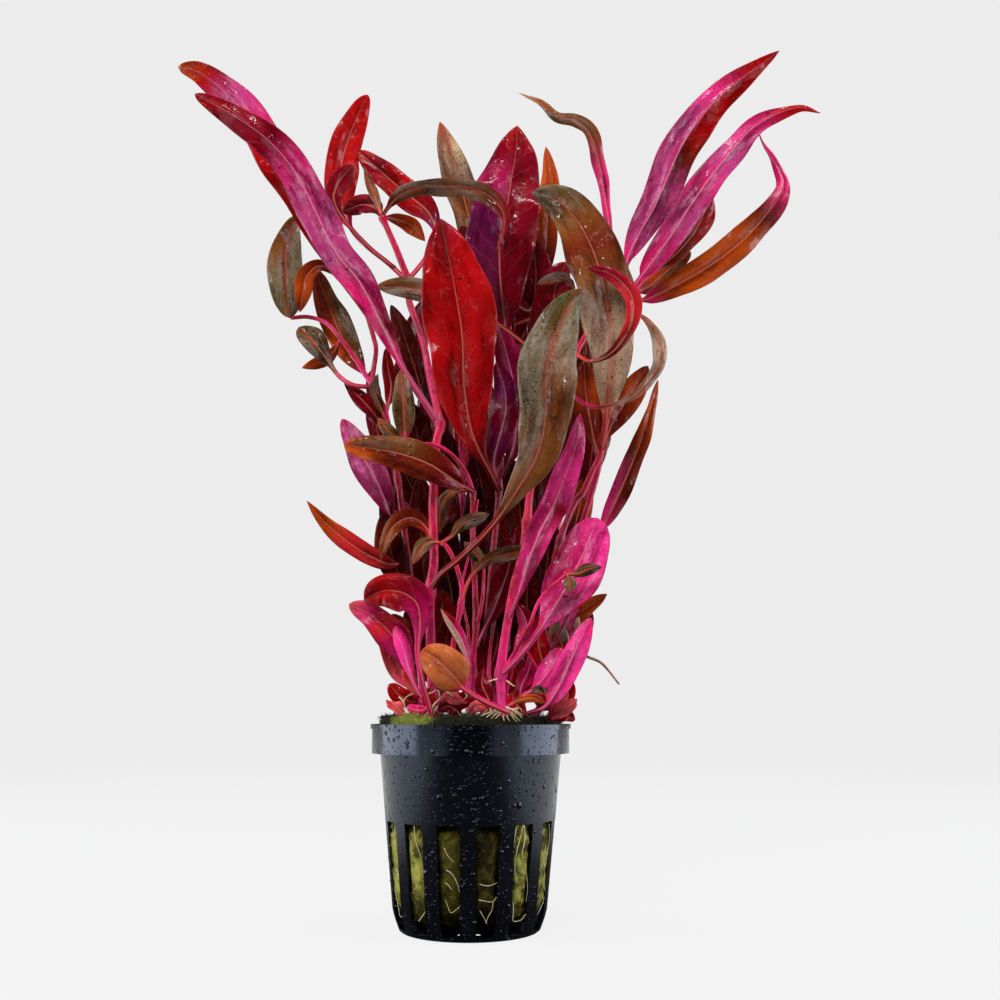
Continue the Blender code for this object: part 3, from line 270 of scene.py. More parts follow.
# Larger leaves, each a node of its own
LEAVES = {
    "leaf_long_mauve": Leaf([(440, 424, 10), (405, 371, 16), (386, 333, 19), (361, 284, 22),
        (336, 252, 24), (313, 206, 26), (296, 173, 28), (270, 142, 30), (237, 118, 31),
        (195, 94, 31)], 9.0, "mauve", 0.16, 0.5, (180, 176, 185, 190), 0.12),
    "leaf_long_left": Leaf([(438, 426, 9), (395, 356, 8), (350, 290, 12), (318, 235, 14),
        (292, 185, 16), (270, 150, 17), (250, 118, 18), (225, 92, 19), (200, 73, 19),
        (178, 67, 19)], 9.5, "long_left", 0.3, 0.6, (185, 170, 175, 190), 0.12),
    "leaf_upright_red": Leaf([(405, 279, 1), (388, 263, -1), (369, 248, -3), (352, 230, -4),
        (341, 203, -5), (341, 168, -6), (348, 140, -7), (359, 112, -7), (368, 95, -7)], 9.5,
        "red", 0.36, 0.45, (10, 5, 0, 0)),
    "leaf_slanting_red": Leaf([(409, 279, 2), (425, 259, -1), (436, 236, -4), (428, 212, -6),
        (403, 191, -7), (379, 170, -8), (358, 151, -8)], 8.5, "red_purple", 0.34,
        roll=(0, 10, 15)),
    "leaf_arching_olive": Leaf([(382, 216, 4), (397, 197, 8), (418, 188, 12), (445, 186, 15),
        (468, 187, 17), (488, 195, 18), (502, 210, 19), (504, 228, 19), (497, 250, 18)], 5.6,
        "olive_red_end", 0.06, 0.4, (15, 35, 25, 50), 0.2),
    "leaf_brown_upright": Leaf([(505, 330, -6), (492, 290, -8), (476, 245, -9), (467, 210, -9),
        (458, 178, -8), (448, 150, -7), (440, 122, -6)], 9.4, "taupe_tip", 0.2, 0.56, (0, 10, 15)),
    "leaf_tall_crimson": Leaf([(508, 346, -1), (504, 315, 3), (500, 275, 6), (500, 235, 7),
        (507, 205, 7), (512, 175, 6), (516, 150, 5), (517, 126, 4)], 19.0, "tall_crimson", 0.07,
        0.48, (0, 0, 5), 0.1),
    "leaf_big_red": Leaf([(499, 490, 4), (490, 472, 12), (479, 450, 18), (470, 425, 21),
        (464, 385, 24), (462, 335, 27), (455, 290, 29), (447, 250, 30), (441, 219, 30)], 17.6,
        "big_red", 0.14, 0.6, (0, 4, -4), 0.1),
    "leaf_big_olive": Leaf([(430, 592, 12), (440, 575, 16), (460, 558, 20), (490, 528, 24),
        (518, 488, 27), (537, 455, 29), (545, 420, 31), (546, 383, 32), (551, 349, 32),
        (562, 317, 31), (581, 288, 30)], 13.6, "big_olive", 0.28, 0.6, (0, 5, 5, 10), 0.1),
    "leaf_drooping_olive": Leaf([(601, 450, 8), (606, 420, 12), (610, 380, 16), (611, 340, 19),
        (606, 300, 21), (597, 262, 22), (584, 232, 21), (568, 210, 20), (551, 197, 19),
        (532, 193, 18)], 14.4, "drooping", 0.1, 0.52, (15, 5, 5, 20), 0.12),
    "leaf_curling_red": Leaf([(576, 354, 10), (590, 361, 20), (608, 355, 25), (624, 338, 27),
        (633, 316, 29), (630, 293, 29), (612, 275, 28), (586, 267, 27)], 4.4, "curling", 0.2,
        0.66, (30, 10, 20, 10)),
    "leaf_ring": Leaf([(573, 357, 10), (568, 375, 13), (572, 393, 15), (585, 404, 16),
        (604, 407, 18), (630, 398, 17), (648, 381, 16), (659, 362, 15), (658, 340, 13),
        (648, 322, 11), (636, 312, 9)], 3.6, "ring", 0.3, 0.6, (70, 60, 30, 20), 0.1),
    "leaf_brown_pair": Leaf([(598, 460, 5), (592, 430, 3), (586, 395, 1), (584, 361, 0)], 8.0,
        "rust", 0.15, roll=(10, 0)),
    "leaf_orange_back": Leaf([(602, 450, 6), (612, 425, 3), (628, 398, 2), (648, 366, 2)], 7.0,
        "rust", 0.15, roll=(0, 10)),
    "leaf_far_right": Leaf([(560, 545, 2), (583, 546, -2), (600, 530, -3), (614, 505, -3),
        (628, 473, -2), (640, 443, -1), (650, 412, 0), (658, 380, 1)], 5.4, "orange_pink", 0.26,
        0.35, (10, 15, 30)),
    "leaf_top_right": Leaf([(630, 290, 3), (626, 266, 4), (638, 236, 6), (654, 208, 8),
        (668, 176, 10), (684, 142, 12), (708, 109, 14), (735, 84, 15), (779, 51, 16)], 10.0,
        "top_right", 0.1, 0.42, (180, 175, 185), 0.1),
    "leaf_right_pink": Leaf([(632, 289, 6), (652, 262, 11), (672, 234, 14), (690, 206, 16),
        (710, 178, 18), (730, 153, 19), (751, 130, 20), (776, 115, 21), (800, 108, 21),
        (820, 113, 20)], 7.8, "right_pink", 0.06, 0.34, (180, 185, 160, 150), 0.12),
    "leaf_right_folded": Leaf([(633, 291, 3.5), (655, 270, 5), (678, 252, 7), (697, 228, 9),
        (706, 205, 10), (707, 187, 10)], 7.0, "folded", 0.2, 0.6, (25, 35), 0.1),
    "leaf_low_orange": Leaf([(630, 294, 1), (644, 300, 2), (680, 283, 4), (715, 262, 5),
        (745, 238, 6), (768, 212, 7), (783, 188, 8), (779, 170, 9), (764, 146, 10),
        (754, 119, 10)], 8.2, "low_orange", 0.06, 0.38, (0, 10, 40, 80), 0.1),
    "leaf_thin_curled": Leaf([(625, 332, 1), (617, 300, -2), (612, 250, -4), (606, 205, -5),
        (599, 165, -5), (590, 135, -4), (575, 121, -3), (556, 116, -2), (540, 103, -1),
        (519, 93, 0)], 4.8, "thin_curled", 0.3, 0.58, (20, 15, 40, 60), 0.2),
    "leaf_orange_tip": Leaf([(511, 301, -4), (530, 310, -9), (541, 280, -10), (546, 245, -11),
        (548, 205, -11), (550, 178, -11), (546, 147, -11)], 6.5, "orange_tip", 0.22, roll=(0, 5)),
    "leaf_behind_dark": Leaf([(562, 390, 7), (556, 350, 1), (553, 315, -1), (556, 285, -2),
        (566, 262, -3)], 12.0, "crimson", 0.15, fold=0.1),
    "leaf_hanging_olive": Leaf([(364, 308, -1), (352, 275, -1), (332, 240, -1), (312, 221, 0),
        (295, 222, 2), (287, 245, 3), (286, 275, 4), (290, 318, 5)], 9.8, "hanging", 0.36, 0.7,
        (20, 0, 0)),
    "leaf_red_curl": Leaf([(363, 309, 1), (345, 282, 3), (322, 266, 5), (307, 276, 6),
        (303, 293, 6), (300, 312, 6)], 5.0, "rust", 0.3, 0.6, (20, 20, 10), 0.2),
    "leaf_left_brown": Leaf([(372, 385, 0), (357, 362, -2), (341, 335, -3), (327, 302, -4),
        (315, 268, -4)], 8.2, "left_brown", 0.12, 0.45, (0, 0, 20)),
    "leaf_left_olive": Leaf([(371, 387, 3.4), (353, 385, 6), (339, 376, 6), (328, 361, 6),
        (315, 343, 6), (299, 327, 5)], 6.6, "dark_olive", 0.36, 0.7, (0, 15)),
    "leaf_grey_upright": Leaf([(405, 441, 16.5), (404, 420, 18), (403, 395, 18), (401, 370, 17)],
        5.4, "grey", 0.05, 0.4),
    "leaf_behind_brown": Leaf([(437, 428, 8), (424, 398, 2), (412, 360, 0), (401, 328, -1),
        (391, 305, -1)], 6.0, "dark_rust", 0.2),
    "leaf_crossing_brown": Leaf([(562, 390, 9), (545, 362, 12), (526, 345, 13), (495, 322, 14),
        (460, 305, 14), (430, 293, 14), (405, 288, 13), (377, 286, 12)], 5.8, "taupe", 0.5, 0.6),
    "leaf_brown_across": Leaf([(473, 491, 9), (460, 484, 16), (445, 474, 19), (429, 464, 20),
        (405, 455, 20), (376, 449, 19), (344, 445, 17)], 8.4, "across", 0.14, 0.45, (0, 10), 0.12),
    "leaf_pink_left": Leaf([(403, 520, 2), (391, 516, 4), (385, 500, 5), (377, 482, 6),
        (366, 462, 7), (353, 440, 7), (342, 419, 7)], 8.0, "pink_left", 0.1, 0.5, (180, 175),
        0.12),
    "leaf_pointing_left": Leaf([(408, 562, 1), (390, 564, 5), (370, 556, 7), (352, 545, 9),
        (333, 530, 10), (319, 516, 11), (307, 501, 11)], 5.0, "pointing", 0.12, 0.4, (0, 10)),
    "leaf_dark_arch": Leaf([(432, 545, 11), (426, 528, 10), (412, 518, 10), (396, 524, 10),
        (386, 540, 10), (381, 560, 10)], 4.8, "dark_glossy", 0.08, roll=(20, 20, 20)),
    "leaf_purple_inner": Leaf([(498, 486, 3), (494, 462, 8), (500, 435, 10), (506, 410, 11),
        (504, 385, 11), (496, 362, 11)], 6.8, "purple", roll=(180, 175)),
    "leaf_magenta_outer": Leaf([(501, 480, 3), (513, 450, 5), (517, 415, 6), (514, 385, 7),
        (506, 350, 7), (497, 322, 7)], 8.8, "magenta", 0.1, roll=(170, 175)),
    "leaf_purple_low": Leaf([(474, 650, 6), (483, 632, 4), (493, 612, 3), (503, 586, 3),
        (511, 558, 3), (516, 528, 3)], 6.6, "purple_low", 0.2, roll=(165, 175)),
    "leaf_pink_slender": Leaf([(508, 620, 14), (519, 592, 18), (529, 560, 20), (541, 530, 20),
        (554, 505, 19), (566, 475, 18), (576, 445, 17), (580, 414, 16)], 7.0, "slender", 0.1, 0.5,
        (180, 175), 0.12),
    "leaf_pink_broad": Leaf([(502, 674, 15), (516, 660, 18), (530, 643, 20), (545, 622, 21),
        (560, 598, 21), (573, 575, 20), (585, 550, 19), (598, 518, 18)], 13.0, "broad", 0.32,
        0.56, (180, 172), 0.12),
    "leaf_pink_low": Leaf([(532, 712, 15), (546, 706, 18), (559, 687, 20), (572, 658, 20),
        (591, 618, 19)], 6.0, "hot", 0.18, 0.45, (175, 170)),
    "leaf_round_olive": Leaf([(499, 708, 20.5), (484, 701, 21), (466, 690, 22), (452, 674, 23),
        (437, 660, 23), (422, 650, 22)], 9.8, "round", 0.42, 0.42, fold=0.06),
    "leaf_curled_left": Leaf([(431, 712, 16), (422, 680, 17), (418, 650, 17), (420, 624, 17.5),
        (417, 604, 17.5), (403, 593, 17.5), (384, 591, 16.5), (364, 600, 15)], 9.2, "curled_left",
        0.2, 0.68, (20, 12, 12)),
}

# Low shoots that grow from the plug between the stems
ROSETTES = {
    "rosette_left": [
        Stem([(420, 711, 6), (412, 690, 7), (404, 668, 8)], 1.8, 0.7),
        Leaf([(411, 687, 7), (404, 660, 10), (394, 638, 11), (372, 616, 11), (349, 604, 11)], 8.0,
            "left_lobe", roll=(10, 20)),
        Leaf([(413, 694, 7), (401, 674, 5), (391, 650, 4), (380, 631, 4)], 6.0, "coral"),
        Leaf([(404, 668, 8), (402, 648, 5), (400, 632, 3), (394, 618, 2)], 5.0, "hot", 0.1,
            roll=(170,)),
        Leaf([(417, 703, 6), (408, 700, 9), (398, 694, 10), (389, 684, 10)], 4.6, "red"),
        Leaf([(429, 706, 12), (416, 688, 13), (409, 668, 13.5), (403, 648, 13), (395, 626, 12)],
            3.8, "rose", 0.3, 0.6, (175,)),
        Leaf([(420, 668, 4), (412, 650, 4), (404, 632, 3), (392, 614, 3)], 5.5, "rust"),
        Leaf([(424, 676, 2), (420, 652, 2), (414, 632, 1), (408, 606, 1)], 5.5, "dark_rust"),
        Stem([(430, 712, 13), (423, 682, 13), (416, 655, 13), (417, 632, 13)], 0.9),
        Leaf([(424, 700, 9), (414, 690, 10), (408, 676, 10), (403, 664, 9)], 3.2, "coral"),
        Leaf([(408, 719, 12), (401, 712, 13), (394, 705, 13), (386, 700, 12)], 3.6, "young", 0.1,
            0.5, (30, 50), 0.25, 1.6),
        Leaf([(430, 706, 14), (422, 710, 14.5), (413, 709, 14), (407, 706, 13)], 2.4, "hot"),
        Leaf([(436, 716, 13), (431, 706, 14), (428, 697, 14), (432, 688, 13)], 3.4, "red"),
    ],
    "rosette_right": [
        Stem([(538, 711, 6), (548, 690, 7), (556, 668, 8)], 1.8, 0.7),
        Leaf([(541, 705, 6), (556, 702, 9), (566, 694, 10), (571, 680, 10)], 4.6, "red"),
        Leaf([(548, 690, 7), (564, 668, 5), (577, 640, 4), (592, 612, 3)], 6.0, "crimson"),
        Leaf([(556, 668, 8), (556, 648, 11), (562, 625, 13), (576, 600, 13)], 5.6, "hot", 0.1,
            roll=(170,)),
        Leaf([(552, 680, 7), (543, 662, 9), (538, 640, 10), (540, 616, 10)], 5.0, "red"),
        Leaf([(544, 697, 7), (537, 690, 9), (532, 678, 10), (530, 664, 10)], 5.0, "red"),
        Leaf([(520, 697, 13), (535, 688, 15), (549, 671, 16), (561, 648, 15)], 5.4, "rose", 0.2,
            0.55, (175,)),
        Leaf([(566, 664, 12), (563, 648, 13), (557, 632, 13), (556, 614, 12)], 4.4, "sage_rust"),
        Leaf([(566, 660, 10), (570, 642, 11), (574, 628, 11), (579, 617, 10)], 3.6, "tan"),
        Stem([(540, 690, 12), (550, 654, 14), (560, 632, 15), (570, 612, 15), (580, 596, 14)],
            1.0, 0.7, (), "crimson"),
        Leaf([(514, 668, 12), (521, 645, 12), (527, 628, 12), (523, 613, 12), (515, 603, 11)],
            4.6, "crimson_pink", 0.1, roll=(175,)),
        Leaf([(520, 697, 12), (522, 685, 13), (528, 672, 13), (531, 661, 12)], 4.0, "magenta",
            0.1, roll=(175,)),
        Leaf([(508, 706, 18), (520, 700, 19), (533, 698, 19), (547, 704, 18)], 2.0, "orange"),
        Leaf([(548, 698, 15), (542, 693, 16), (537, 691, 16), (531, 692, 15)], 2.6, "small_olive"),
        Leaf([(548, 719, 13), (555, 708, 14), (561, 698, 15), (567, 688, 14)], 4.0, "young", 0.1,
            0.45, (40, -10), 0.25, 1.6),
        Leaf([(552, 720, 14), (561, 713, 15), (569, 706, 15), (577, 699, 13)], 3.2, "young", 0.1,
            0.45, (-30, 20), 0.2, 1.6),
        Leaf([(550, 721, 13), (559, 717, 14), (567, 716, 14), (575, 720, 13)], 2.8, "red", 0.1,
            0.5, (30, -20), 0.2, 1.6),
        Leaf([(544, 703, 13), (551, 696, 14), (559, 690, 14), (568, 687, 13)], 2.8, "young", 0.1,
            0.5, (30, 0), 0.2, 1.6),
        Leaf([(530, 698, 16), (539, 700, 17), (546, 705, 17), (545, 711, 16)], 3.2, "crimson"),
        Leaf([(528, 716, 14), (520, 708, 15), (514, 701, 15), (512, 692, 14)], 3.6, "red"),
        Leaf([(552, 690, 4), (556, 670, 3), (552, 646, 2), (548, 622, 2)], 6.5, "crimson"),
        Leaf([(544, 690, 0), (538, 664, -1), (532, 636, -2), (534, 604, -2)], 6.5, "dark"),
        Leaf([(556, 680, -2), (568, 655, -3), (572, 630, -4), (566, 600, -4)], 6.0, "crimson"),
        Stem([(569, 640, 8), (578, 652, 9), (588, 657, 9), (600, 662, 8), (609, 671, 8),
            (619, 684, 7)], 0.8, 0.6, (), "tan"),
        Stem([(505, 700, 13), (514, 664, 14), (519, 645, 14), (524, 626, 13)], 0.7),
        Stem([(541, 704, 12), (543, 684, 13), (536, 666, 13), (526, 650, 12)], 0.7),
    ],
    "rosette_middle": [
        Stem([(488, 711, -8), (486, 690, -8), (483, 668, -8)], 1.6, 0.7),
        Leaf([(487, 698, -8), (497, 684, -7), (507, 660, -7), (514, 622, -8)], 7.0, "red",
            roll=(-20,)),
        Leaf([(483, 668, -8), (474, 640, -8), (466, 612, -8), (458, 570, -8)], 8.0, "crimson",
            roll=(30,)),
        Leaf([(484, 676, -8), (494, 645, -9), (500, 610, -10), (494, 565, -11)], 8.0, "dark"),
        Leaf([(487, 702, -8), (477, 625, -5), (474, 550, -4), (477, 478, -2)], 8.0, "dark", 0.2),
        Leaf([(486, 692, -8), (507, 612, -5), (512, 550, -5), (508, 490, -5)], 8.0, "rust", 0.2),
        Leaf([(466, 703, 15), (456, 700, 17), (448, 697, 17), (440, 700, 16)], 2.8, "young"),
        Leaf([(462, 716, 14), (455, 709, 16), (447, 706, 16), (438, 711, 15)], 3.8, "crimson"),
        Leaf([(470, 718, 15), (474, 708, 17), (483, 706, 17), (490, 713, 16)], 2.8, "young"),
        Leaf([(456, 718, 12), (458, 706, 12), (466, 698, 12), (476, 698, 12)], 4.0, "red"),
        Leaf([(492, 712, 12), (488, 698, 12), (482, 684, 12), (484, 668, 11)], 4.0, "crimson"),
        Leaf([(506, 708, 10), (514, 694, 10), (518, 678, 9), (514, 662, 9)], 4.0, "red"),
        Leaf([(470, 672, 16), (467, 655, 17), (461, 638, 17.5), (452, 624, 17.5), (441, 609, 17)],
            3.0, "red_edge", 0.1, 0.55, (170, 178)),
        Leaf([(478, 690, 1), (476, 668, 0), (468, 646, 0), (462, 626, 0)], 6.0, "crimson"),
        Leaf([(490, 690, 0), (492, 664, -1), (498, 640, -1), (494, 612, -2)], 6.5, "dark"),
        Leaf([(462, 700, 4), (450, 680, 3), (446, 650, 2), (450, 615, 2)], 6.5, "crimson"),
        Leaf([(500, 700, -2), (512, 680, -3), (520, 655, -4), (524, 625, -5)], 6.5, "crimson"),
        Leaf([(488, 700, -3), (478, 672, -4), (486, 640, -5), (480, 600, -6)], 7.0, "maroon"),
        Leaf([(502, 700, -6), (510, 668, -7), (504, 630, -8), (510, 590, -8)], 7.0, "maroon"),
    ],
    "rosette_back": [
        Stem([(452, 711, -5), (448, 690, -6), (444, 668, -7)], 1.6, 0.7),
        Leaf([(451, 704, -5), (438, 686, -6), (428, 655, -7), (424, 620, -7)], 7.0, "crimson",
            roll=(20,)),
        Leaf([(444, 668, -7), (442, 640, -9), (438, 605, -9), (430, 565, -9)], 8.0, "crimson"),
        Leaf([(446, 680, -6), (448, 655, -3), (446, 625, -2), (440, 590, -2)], 7.0, "red"),
        Leaf([(446, 674, -6), (430, 620, -6), (422, 550, -5), (418, 478, -4)], 8.0, "rust"),
    ],
}

# Shoots behind the others, and leaves between the stems painted dark for the shade there
BACK_SHOOTS = {
    "shoot_back_left": [
        Stem([(440, 712, -11), (425, 600, -13), (405, 500, -16), (398, 420, -20)], 2.2, 0.7,
            (1, 2)),
        Leaf([(420, 575, -13), (402, 545, -13), (390, 505, -14), (384, 455, -16)], 9.0, "crimson",
            roll=(30, 40)),
        Leaf([(420, 575, -13), (438, 545, -12), (446, 505, -11), (446, 455, -11)], 9.0, "red",
            roll=(-20,)),
        Leaf([(404, 490, -16), (384, 455, -19), (374, 415, -22), (372, 370, -25)], 9.0, "dark",
            roll=(40, 55)),
        Leaf([(404, 490, -16), (424, 460, -17), (432, 420, -18), (432, 370, -18)], 9.0, "crimson",
            roll=(-10,)),
        Leaf([(398, 420, -20), (402, 385, -23), (412, 345, -26), (424, 300, -28)], 9.0, "dark",
            roll=(25,)),
        Leaf([(412, 500, -8), (418, 470, -8), (418, 440, -8), (410, 402, -8)], 9.0, "dark"),
        Leaf([(430, 530, -6), (420, 500, -6), (408, 480, -6), (404, 450, -6)], 8.0, "dark_rust"),
        Leaf([(418, 704, -3), (416, 682, -4), (414, 655, -5), (420, 628, -5)], 6.0, "crimson"),
    ],
    "shoot_back_middle": [
        Stem([(470, 712, -14), (466, 600, -17), (462, 500, -19), (462, 390, -20)], 2.4, 0.7,
            (1, 2)),
        Leaf([(466, 590, -17), (450, 555, -19), (443, 510, -22), (446, 460, -24)], 9.0, "crimson",
            roll=(45, 70)),
        Leaf([(466, 590, -17), (484, 555, -15), (492, 510, -12), (488, 455, -11)], 9.0, "red",
            roll=(-25,)),
        Leaf([(462, 490, -19), (455, 450, -24), (452, 400, -27), (456, 345, -29)], 10.0,
            "crimson", roll=(40,)),
        Leaf([(462, 490, -19), (480, 450, -18), (486, 400, -16), (482, 345, -15)], 10.0, "dark",
            roll=(-30, -60)),
        Leaf([(462, 390, -20), (458, 350, -19), (464, 300, -18), (470, 250, -17)], 10.0, "red",
            roll=(10,)),
        Leaf([(512, 560, -6), (520, 530, -6), (518, 495, -6), (504, 455, -6)], 9.0, "dark"),
        Leaf([(448, 640, -3), (452, 600, -4), (446, 560, -4), (452, 520, -4)], 8.0, "maroon"),
        Leaf([(470, 560, -8), (478, 520, -8), (482, 490, -8), (474, 452, -8)], 9.0, "dark"),
        Leaf([(452, 500, -6), (448, 480, -6), (444, 455, -6), (440, 425, -6)], 8.0, "dark"),
        Leaf([(514, 360, -10), (514, 335, -10), (516, 310, -10), (520, 282, -10)], 8.0, "crimson"),
    ],
    "shoot_back_right": [
        Stem([(495, 712, -14), (505, 600, -15), (519, 500, -16), (530, 390, -17)], 2.4, 0.7,
            (1, 2)),
        Leaf([(507, 590, -15), (495, 555, -19), (494, 510, -22), (500, 455, -25)], 9.0, "crimson",
            roll=(35, 60)),
        Leaf([(506, 598, -14.8), (526, 560, -12), (538, 520, -10), (540, 470, -9)], 9.0, "red",
            roll=(-15, -50)),
        Leaf([(520, 490, -16), (508, 450, -19), (508, 400, -22), (516, 345, -25)], 10.0, "dark",
            roll=(60,)),
        Leaf([(520, 490, -16), (542, 455, -14), (554, 410, -12), (558, 355, -11)], 10.0,
            "crimson", roll=(-20,)),
        Leaf([(505, 601, -15), (524, 552, -16), (541, 503, -16), (550, 450, -17)], 8.0, "dark",
            0.2, roll=(-10,)),
        Leaf([(529, 397, -17), (530, 350, -16), (524, 305, -15), (520, 255, -14)], 9.0, "crimson",
            roll=(-25, -45)),
        Leaf([(556, 480, -8), (566, 450, -8), (572, 420, -8), (574, 385, -8)], 8.0, "dark_rust"),
        Leaf([(584, 500, -9), (590, 465, -9), (594, 430, -9), (590, 395, -9)], 8.0, "dark"),
        Leaf([(536, 610, -6), (544, 580, -6), (548, 550, -6), (544, 512, -6)], 8.0, "dark"),
        Leaf([(530, 332, -10), (534, 300, -10), (536, 270, -10), (532, 236, -10)], 9.0, "dark"),
        Leaf([(580, 390, -6), (584, 365, -6), (586, 340, -6), (582, 310, -6)], 8.0, "dark_rust"),
    ],
    "shoot_back_outer": [
        Stem([(510, 712, -18), (535, 610, -22), (562, 510, -27), (580, 420, -32)], 2.2, 0.7,
            (1, 2)),
        Leaf([(540, 590, -23), (528, 560, -26), (526, 520, -30), (534, 470, -34)], 8.0, "crimson",
            roll=(60,)),
        Leaf([(540, 590, -23), (562, 570, -20), (578, 540, -18), (588, 500, -17)], 7.0, "red",
            roll=(-30,)),
        Leaf([(563, 505, -27), (556, 470, -31), (560, 430, -35), (572, 385, -39)], 8.0, "dark",
            roll=(60,)),
        Leaf([(563, 505, -27), (584, 480, -24), (598, 445, -22), (606, 400, -21)], 7.0, "crimson",
            roll=(-30,)),
        Leaf([(580, 420, -32), (590, 385, -35), (596, 345, -39), (596, 300, -43)], 8.0, "crimson",
            roll=(40,)),
    ],
    "shoot_rear": [
        Stem([(455, 712, -19), (448, 610, -25), (446, 520, -32), (452, 430, -40)], 2.2, 0.7,
            (1, 2)),
        Leaf([(448, 600, -26), (430, 570, -28), (418, 530, -31), (412, 480, -34)], 8.0, "crimson",
            roll=(60,)),
        Leaf([(448, 600, -26), (466, 570, -29), (476, 530, -33), (480, 480, -37)], 8.0, "red",
            roll=(-50,)),
        Leaf([(446, 510, -33), (430, 475, -38), (424, 430, -44), (426, 380, -50)], 8.0, "dark",
            roll=(50,)),
        Leaf([(446, 510, -33), (466, 475, -39), (480, 435, -45), (490, 390, -51)], 8.0, "crimson",
            roll=(-50,)),
        Leaf([(452, 430, -40), (456, 390, -46), (466, 345, -52), (480, 300, -57.5)], 8.0,
            "crimson", roll=(40,)),
    ],
}


def srgb(red, green, blue):
    """A screen colour of 0 to 255 as linear numbers"""
    shares = (value / 255 for value in (red, green, blue))
    return tuple(s / 12.92 if s <= 0.04045 else ((s + 0.055) / 1.055) ** 2.4 for s in shares)


def colour_value(name, description, default):
    return bpy.props.FloatVectorProperty(name=name, description=description, size=3,
                                         subtype="COLOR", min=0.0, max=1.0,
                                         default=srgb(*default))


def length_value(name, description, default_mm):
    return bpy.props.FloatProperty(name=name, description=description, unit="LENGTH",
                                   min=0.0, precision=5, default=default_mm * MM)


def count_value(name, description, default):
    return bpy.props.IntProperty(name=name, description=description, min=0, default=default)


def power_value(name, description, default):
    return bpy.props.FloatProperty(name=name, description=description, unit="POWER",
                                   default=default)


class PlantColours(bpy.types.PropertyGroup):
    """Colours that the leaves and stems are mixed from"""
    hot_pink: colour_value("Hot pink", "Stems and young shoots", (232, 30, 110))
    pink: colour_value("Pink", "Undersides of the outer leaves", (206, 38, 108))
    hot_red: colour_value("Hot red", "Upper stems", (206, 18, 62))
    rose: colour_value("Rose", "Young undersides against the light", (254, 56, 148))
    mauve: colour_value("Mauve", "Frosted undersides", (186, 58, 118))
    magenta: colour_value("Magenta", "Undersides near the stem", (168, 12, 74))
    plum: colour_value("Plum", "Undersides in the heart", (104, 20, 56))
    purple: colour_value("Purple", "Dark purple undersides", (112, 12, 72))
    crimson: colour_value("Crimson", "Inner leaves", (128, 4, 26))
    red: colour_value("Red", "Bright upper leaves", (170, 7, 11))
    coral: colour_value("Coral", "Young leaf tips", (208, 40, 44))
    salmon: colour_value("Salmon", "Young leaves on the plug", (240, 100, 104))
    orange: colour_value("Orange", "Backlit tips", (184, 72, 14))
    rust: colour_value("Rust", "Older inner leaves", (112, 30, 10))
    maroon: colour_value("Maroon", "Shaded leaves in the heart", (66, 5, 8))
    bronze: colour_value("Bronze", "Brown patches of olive leaves", (124, 68, 26))
    peach: colour_value("Peach", "The round leaf on the plug", (190, 98, 50))
    taupe: colour_value("Taupe", "Grey-brown upper faces", (116, 80, 50))
    tan: colour_value("Tan", "Dry pale leaves", (194, 160, 126))
    sage: colour_value("Sage", "Grey-green upper faces", (112, 98, 72))
    olive: colour_value("Olive", "Olive upper faces", (86, 66, 28))
    dark_olive: colour_value("Dark olive", "Shaded olive faces", (66, 48, 20))
    green: colour_value("Green", "Small green leaves and leaf tips", (70, 84, 38))


class PlantSizes(bpy.types.PropertyGroup):
    """Sizes of the leaf blades and stems"""
    blade_thick: length_value("Blade thickness", "Thickness of a leaf beside its midrib", 0.34)
    rib_height: length_value("Midrib height", "How far the midrib stands out below", 0.42)
    ripple: length_value("Ripple", "Height of the waves along a leaf's edge", 0.85)
    vein_gap: length_value("Vein gap", "Distance between side veins", 4.6)
    stem_foot: length_value("Stem foot", "How deep a stem reaches into the moss", 2.5)


class PotSizes(bpy.types.PropertyGroup):
    """Sizes and colours of the pot and its plug"""
    wall: length_value("Wall", "Thickness of the pot's wall", 1.0)
    edge: length_value("Edge rounding", "Rounding of the pot's moulded edges", 0.16)
    plastic: colour_value("Plastic", "The pot's plastic", (4, 4, 7))
    wool: colour_value("Wool", "The plug's algae-stained wool", (214, 210, 96))
    wool_dark: colour_value("Shaded wool", "Hollows of the wool", (78, 70, 18))
    moss: colour_value("Moss", "Moss on top of the plug", (46, 66, 22))
    root: colour_value("Roots", "Young roots", (242, 232, 192))
    moss_count: count_value("Moss density", "Moss tips on a square metre", 900000)
    fibre_count: count_value("Fibre density", "Loose wool fibres on a square metre", 260000)


class StudioValues(bpy.types.PropertyGroup):
    """Lights and floor"""
    side_power: power_value("Side panels", "Power of each side panel", 3.8)
    top_power: power_value("Top panel", "Power of the panel overhead", 3.0)
    front_power: power_value("Front light", "Power of the light high in front", 4.0)
    glint_power: power_value("Glint light", "Power of the small light for wet glints", 0.5)
    strip_power: power_value("Strip light", "Power of the strip for wet streaks", 0.9)
    backdrop: bpy.props.FloatProperty(name="Backdrop", min=0.0, default=0.84,
                                      description="Brightness of floor and backdrop")


def spot(column, row, fore):
    """The place, in millimetres, of a point of the picture that stands fore mm in front"""
    across = (column - PICTURE_SIZE / 2) / FOCAL_PIXELS
    up = (PICTURE_SIZE / 2 - row) / FOCAL_PIXELS
    ahead = math.cos(EYE_TILT) - up * math.sin(EYE_TILT)
    rise = math.sin(EYE_TILT) + up * math.cos(EYE_TILT)
    reach = (-EYE[1] - fore) / ahead
    return EYE[0] + across * reach, -fore, EYE[2] + rise * reach


def add_object(name, data):
    """A new object at the origin of the scene"""
    made = bpy.data.objects.new(name, data)
    bpy.context.scene.collection.objects.link(made)
    return made


